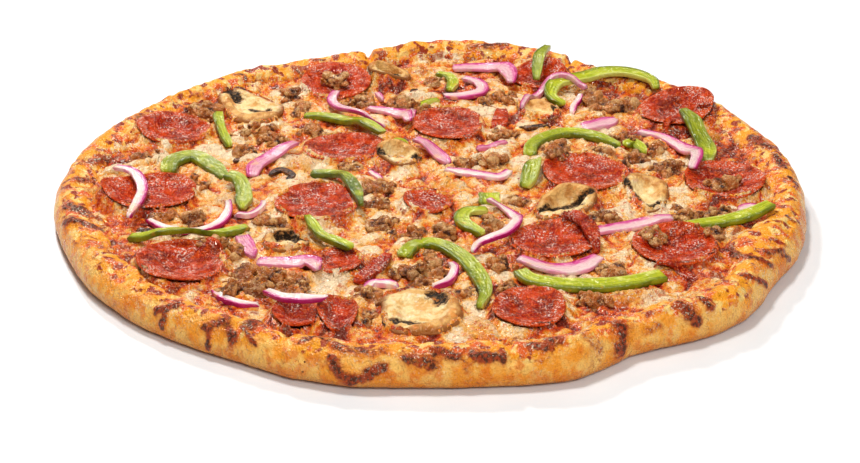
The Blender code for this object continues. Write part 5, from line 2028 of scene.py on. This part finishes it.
@dataclass
class Crumbles:
    """All sausage crumbles as one piece: knobby lumps with small crumbs beside them."""

    solid: Solid
    finish: bpy.types.Material
    scale: float
    height: float = 0.42
    craggy: float = 0.16
    knobs: int = 16
    crumbs: int = 3
    larger: float = 1.22
    smallest_lump: float = 8.0
    points: list[np.ndarray] = field(default_factory=list)
    faces: Faces = field(default_factory=list)
    rises: list[np.ndarray] = field(default_factory=list)

    def build(self) -> None:
        """Build the crumbles."""
        rng = random.Random(SEED)
        large = self.ball(int(22 / self.scale), int(34 / self.scale))
        small = self.ball(int(10 / self.scale), int(16 / self.scale))
        for x, y, width in CRUMBLES:
            self.lump(large, x, y, width * self.larger, rng)
            for _ in range(self.crumbs):
                turn, size = rng.uniform(0, 2 * math.pi), rng.uniform(3.0, 7.5)
                away = 0.5 * width + rng.uniform(0.0, 2.0)
                self.lump(small, x + away * math.cos(turn), y + away * math.sin(turn), size, rng)
        masks = {"rise": np.concatenate(self.rises)}
        add_piece("sausage_crumbles", np.vstack(self.points), self.faces, self.finish, masks)

    def lump(
        self, ball: tuple[np.ndarray, Faces], x: float, y: float, width: float, rng: random.Random
    ) -> None:
        """Add one lump, whose form is that of several balls grown together.

        Args:
            ball: Points and faces of a unit ball.
            x: The lump's place in millimetres.
            y: The same, away from the camera.
            width: Its width in millimetres.
            rng: The source of its variety.
        """
        apex = self.solid.top(x * MM, y * MM)
        if apex is None:
            return
        unit, faces = ball
        reach = np.full(len(unit), 0.5)
        for _ in range(self.knobs):
            aim = np.array([rng.gauss(0, 1), rng.gauss(0, 1), rng.gauss(0.2, 0.7)])
            aim *= rng.uniform(0.42, 0.72) / np.linalg.norm(aim)
            size = rng.uniform(0.24, 0.38)
            along = unit @ aim
            inside = along ** 2 - aim @ aim + size ** 2
            far = np.where(inside > 0, along + np.sqrt(np.maximum(inside, 0.0)), 0.0)
            reach = np.maximum(reach, far)
        grains = waves(unit * width * 0.5 * MM, 3.0, rng.uniform(0, 50))
        swell = reach + self.craggy * grains
        is_lump = width > self.smallest_lump
        tall = 2 * self.height if is_lump else 0.9
        local = unit * swell[:, None] * np.array([0.56, 0.5, 0.5 * tall]) * width
        turn = rng.uniform(0, math.pi)
        spun = local.copy()
        spun[:, 0] = local[:, 0] * math.cos(turn) - local[:, 1] * math.sin(turn)
        spun[:, 1] = local[:, 0] * math.sin(turn) + local[:, 1] * math.cos(turn)
        spun[:, 2] += -spun[:, 2].max() if is_lump else 0.12 * width
        base = sum(len(rows) for rows in self.points)
        self.points.append(spun * MM + np.array([x * MM, y * MM, apex]))
        self.faces += [tuple(base + i for i in face) for face in faces]
        # Height on the lump, which the finish paints as shade low down and as highlight on the
        # knobs.
        self.rises.append(np.clip(0.42 + 1.5 * (swell - 0.74) + 0.4 * grains, 0.0, 1.0))

    @staticmethod
    def ball(rows: int, columns: int) -> tuple[np.ndarray, Faces]:
        """Make a ball of radius 1.

        Args:
            rows: Number of bands from top to bottom.
            columns: Number of points round it.

        Returns:
            Its points and faces.
        """
        points = [(0.0, 0.0, 1.0)]
        for i in range(1, rows):
            lift = math.pi * i / rows
            for j in range(columns):
                turn = 2 * math.pi * j / columns
                points.append((
                    math.sin(lift) * math.cos(turn), math.sin(lift) * math.sin(turn), math.cos(lift)
                ))
        points.append((0.0, 0.0, -1.0))
        faces = []
        for j in range(columns):
            n = (j + 1) % columns
            faces.append((0, 1 + j, 1 + n))
            for i in range(rows - 2):
                a = 1 + i * columns
                faces.append((a + j, a + columns + j, a + columns + n, a + n))
            a = 1 + (rows - 2) * columns
            faces.append((a + j, len(points) - 1, a + n))
        return np.array(points), faces


@dataclass(frozen=True)
class Lamp:
    """A round soft light that faces the pizza."""

    name: str
    place: tuple[float, float, float]
    size: float
    power: float

    def build(self) -> None:
        """Add the light."""
        lamp = bpy.data.lights.new(self.name, "AREA")
        lamp.shape = "DISK"
        lamp.size = self.size
        lamp.energy = self.power
        made = bpy.data.objects.new(self.name, lamp)
        made.location = self.place
        made.rotation_euler = (-Vector(self.place)).to_track_quat("-Z", "Y").to_euler()
        bpy.context.scene.collection.objects.link(made)


@dataclass
class Studio:
    """The floor, the lights and the camera."""

    distance: float = 1.027
    elevation: float = 25.63
    aim: float = -0.0241
    lens: float = 89.3
    sensor: float = 36.0
    shift: float = -2.3 / 860
    floor_size: float = 4.0
    floor_depth: float = 0.0006
    ambient: Colour = (1.0, 0.98, 0.95, 1.0)
    ambient_strength: float = 0.2
    lamps: tuple[Lamp, ...] = (
        Lamp("back", (-0.4, 1.0, 0.95), 0.16, 11.0),
        Lamp("front", (0.35, -1.15, 1.0), 0.6, 10.0),
        Lamp("top", (-0.25, 0.2, 1.4), 0.3, 11.5),
    )

    def build(self) -> None:
        """Build the studio."""
        self.floor()
        self.world()
        for lamp in self.lamps:
            lamp.build()
        self.camera()

    def floor(self) -> None:
        """Add the pale floor."""
        mesh = bpy.data.meshes.new("floor")
        size = self.floor_size
        mesh.from_pydata(
            [(-size, -size, 0), (size, -size, 0), (size, size, 0), (-size, size, 0)], [],
            [(0, 1, 2, 3)],
        )
        mesh.materials.append(FloorFinish().build())
        floor = bpy.data.objects.new("floor", mesh)
        floor.location.z = -self.floor_depth
        bpy.context.scene.collection.objects.link(floor)

    def world(self) -> None:
        """Set the soft light from all round."""
        world = bpy.data.worlds.new("studio")
        world.use_nodes = True
        back = world.node_tree.nodes["Background"]
        back.inputs["Color"].default_value = self.ambient
        back.inputs["Strength"].default_value = self.ambient_strength
        bpy.context.scene.world = world
        bpy.context.scene.view_settings.view_transform = "Standard"

    def camera(self) -> None:
        """Add the camera."""
        lens = bpy.data.cameras.new("camera")
        lens.sensor_width = self.sensor
        lens.lens = self.lens
        lens.shift_x = self.shift
        made = bpy.data.objects.new("camera", lens)
        tilt = math.radians(self.elevation)
        made.location = (0.0, -self.distance * math.cos(tilt), self.distance * math.sin(tilt))
        aim = Vector((0.0, self.aim, 0.0)) - Vector(made.location)
        made.rotation_euler = aim.to_track_quat("-Z", "Y").to_euler()
        bpy.context.scene.collection.objects.link(made)
        bpy.context.scene.camera = made


@dataclass
class Strips:
    """All strips and scraps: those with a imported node, and the small ones without."""

    nodes: dict[str, bpy.types.Object]
    cheese: Solid
    everything: Solid
    finishes: dict[Kind, bpy.types.Material]
    scale: float
    overlap: float = 0.2

    def build(self) -> None:
        """Build the strips."""
        for table in (PEPPERS, ONIONS):
            for seed, (name, entry) in enumerate(table.items()):
                kind, solid = Kind.of(name), Solid([self.nodes[name]])
                Strip(
                    name + "_strip", *entry, solid, seed, self.finishes[kind], self.scale,
                    kind.value, name,
                ).build()
        for table, carrier in ((SMALL_STRIPS, self.cheese), (TOP_STRIPS, self.everything)):
            for seed, (name, (width, first, last, height, path)) in enumerate(table.items()):
                kind = Kind.of(name)
                Strip(
                    name, width, first, last, path, carrier, seed, self.finishes[kind], self.scale,
                    None if kind is Kind.SCRAP else kind.value, plain_height=height,
                    lift=height - self.overlap if table is TOP_STRIPS else 0.0,
                ).build()


def main() -> None:
    """Build every piece and the studio."""
    logging.basicConfig(level=logging.INFO, format="%(name)s %(message)s")
    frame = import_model()
    nodes = frame["nodes"]
    scale = Detail.FULL.value
    crust, cheese = Solid([nodes["crust"]]), Solid([nodes["cheese"]])
    toppings = Solid([node for name, node in nodes.items() if name not in ("crust", "cheese")])
    slices = Solid([node for name, node in nodes.items() if name.startswith(SLICE_NAMES)])
    everything = Solid(list(nodes.values()))
    Crust(crust, CrustFinish().build(), scale).build()
    Cheese(crust, toppings, slices, CheeseFinish().build(), scale).build()
    red = PepperoniFinish().build()
    for seed, (name, entry) in enumerate(PEPPERONI.items()):
        Pepperoni(name, Solid([nodes[name]]), seed, red, scale, *entry).build()
    tan = MushroomFinish().build()
    for seed, (name, entry) in enumerate(MUSHROOMS.items()):
        Mushroom(name, Solid([nodes[name]]), seed, tan, scale, *entry).build()
    finishes = {
        Kind.PEPPER: PepperFinish().build(),
        Kind.ONION: OnionFinish().build(),
        Kind.PEPPERONI: red,
        Kind.SCRAP: ScrapFinish().build(),
    }
    Strips(nodes, cheese, everything, finishes, scale).build()
    Crumbles(everything, SausageFinish().build(), scale).build()
    Studio().build()


if __name__ == "__main__":
    main()
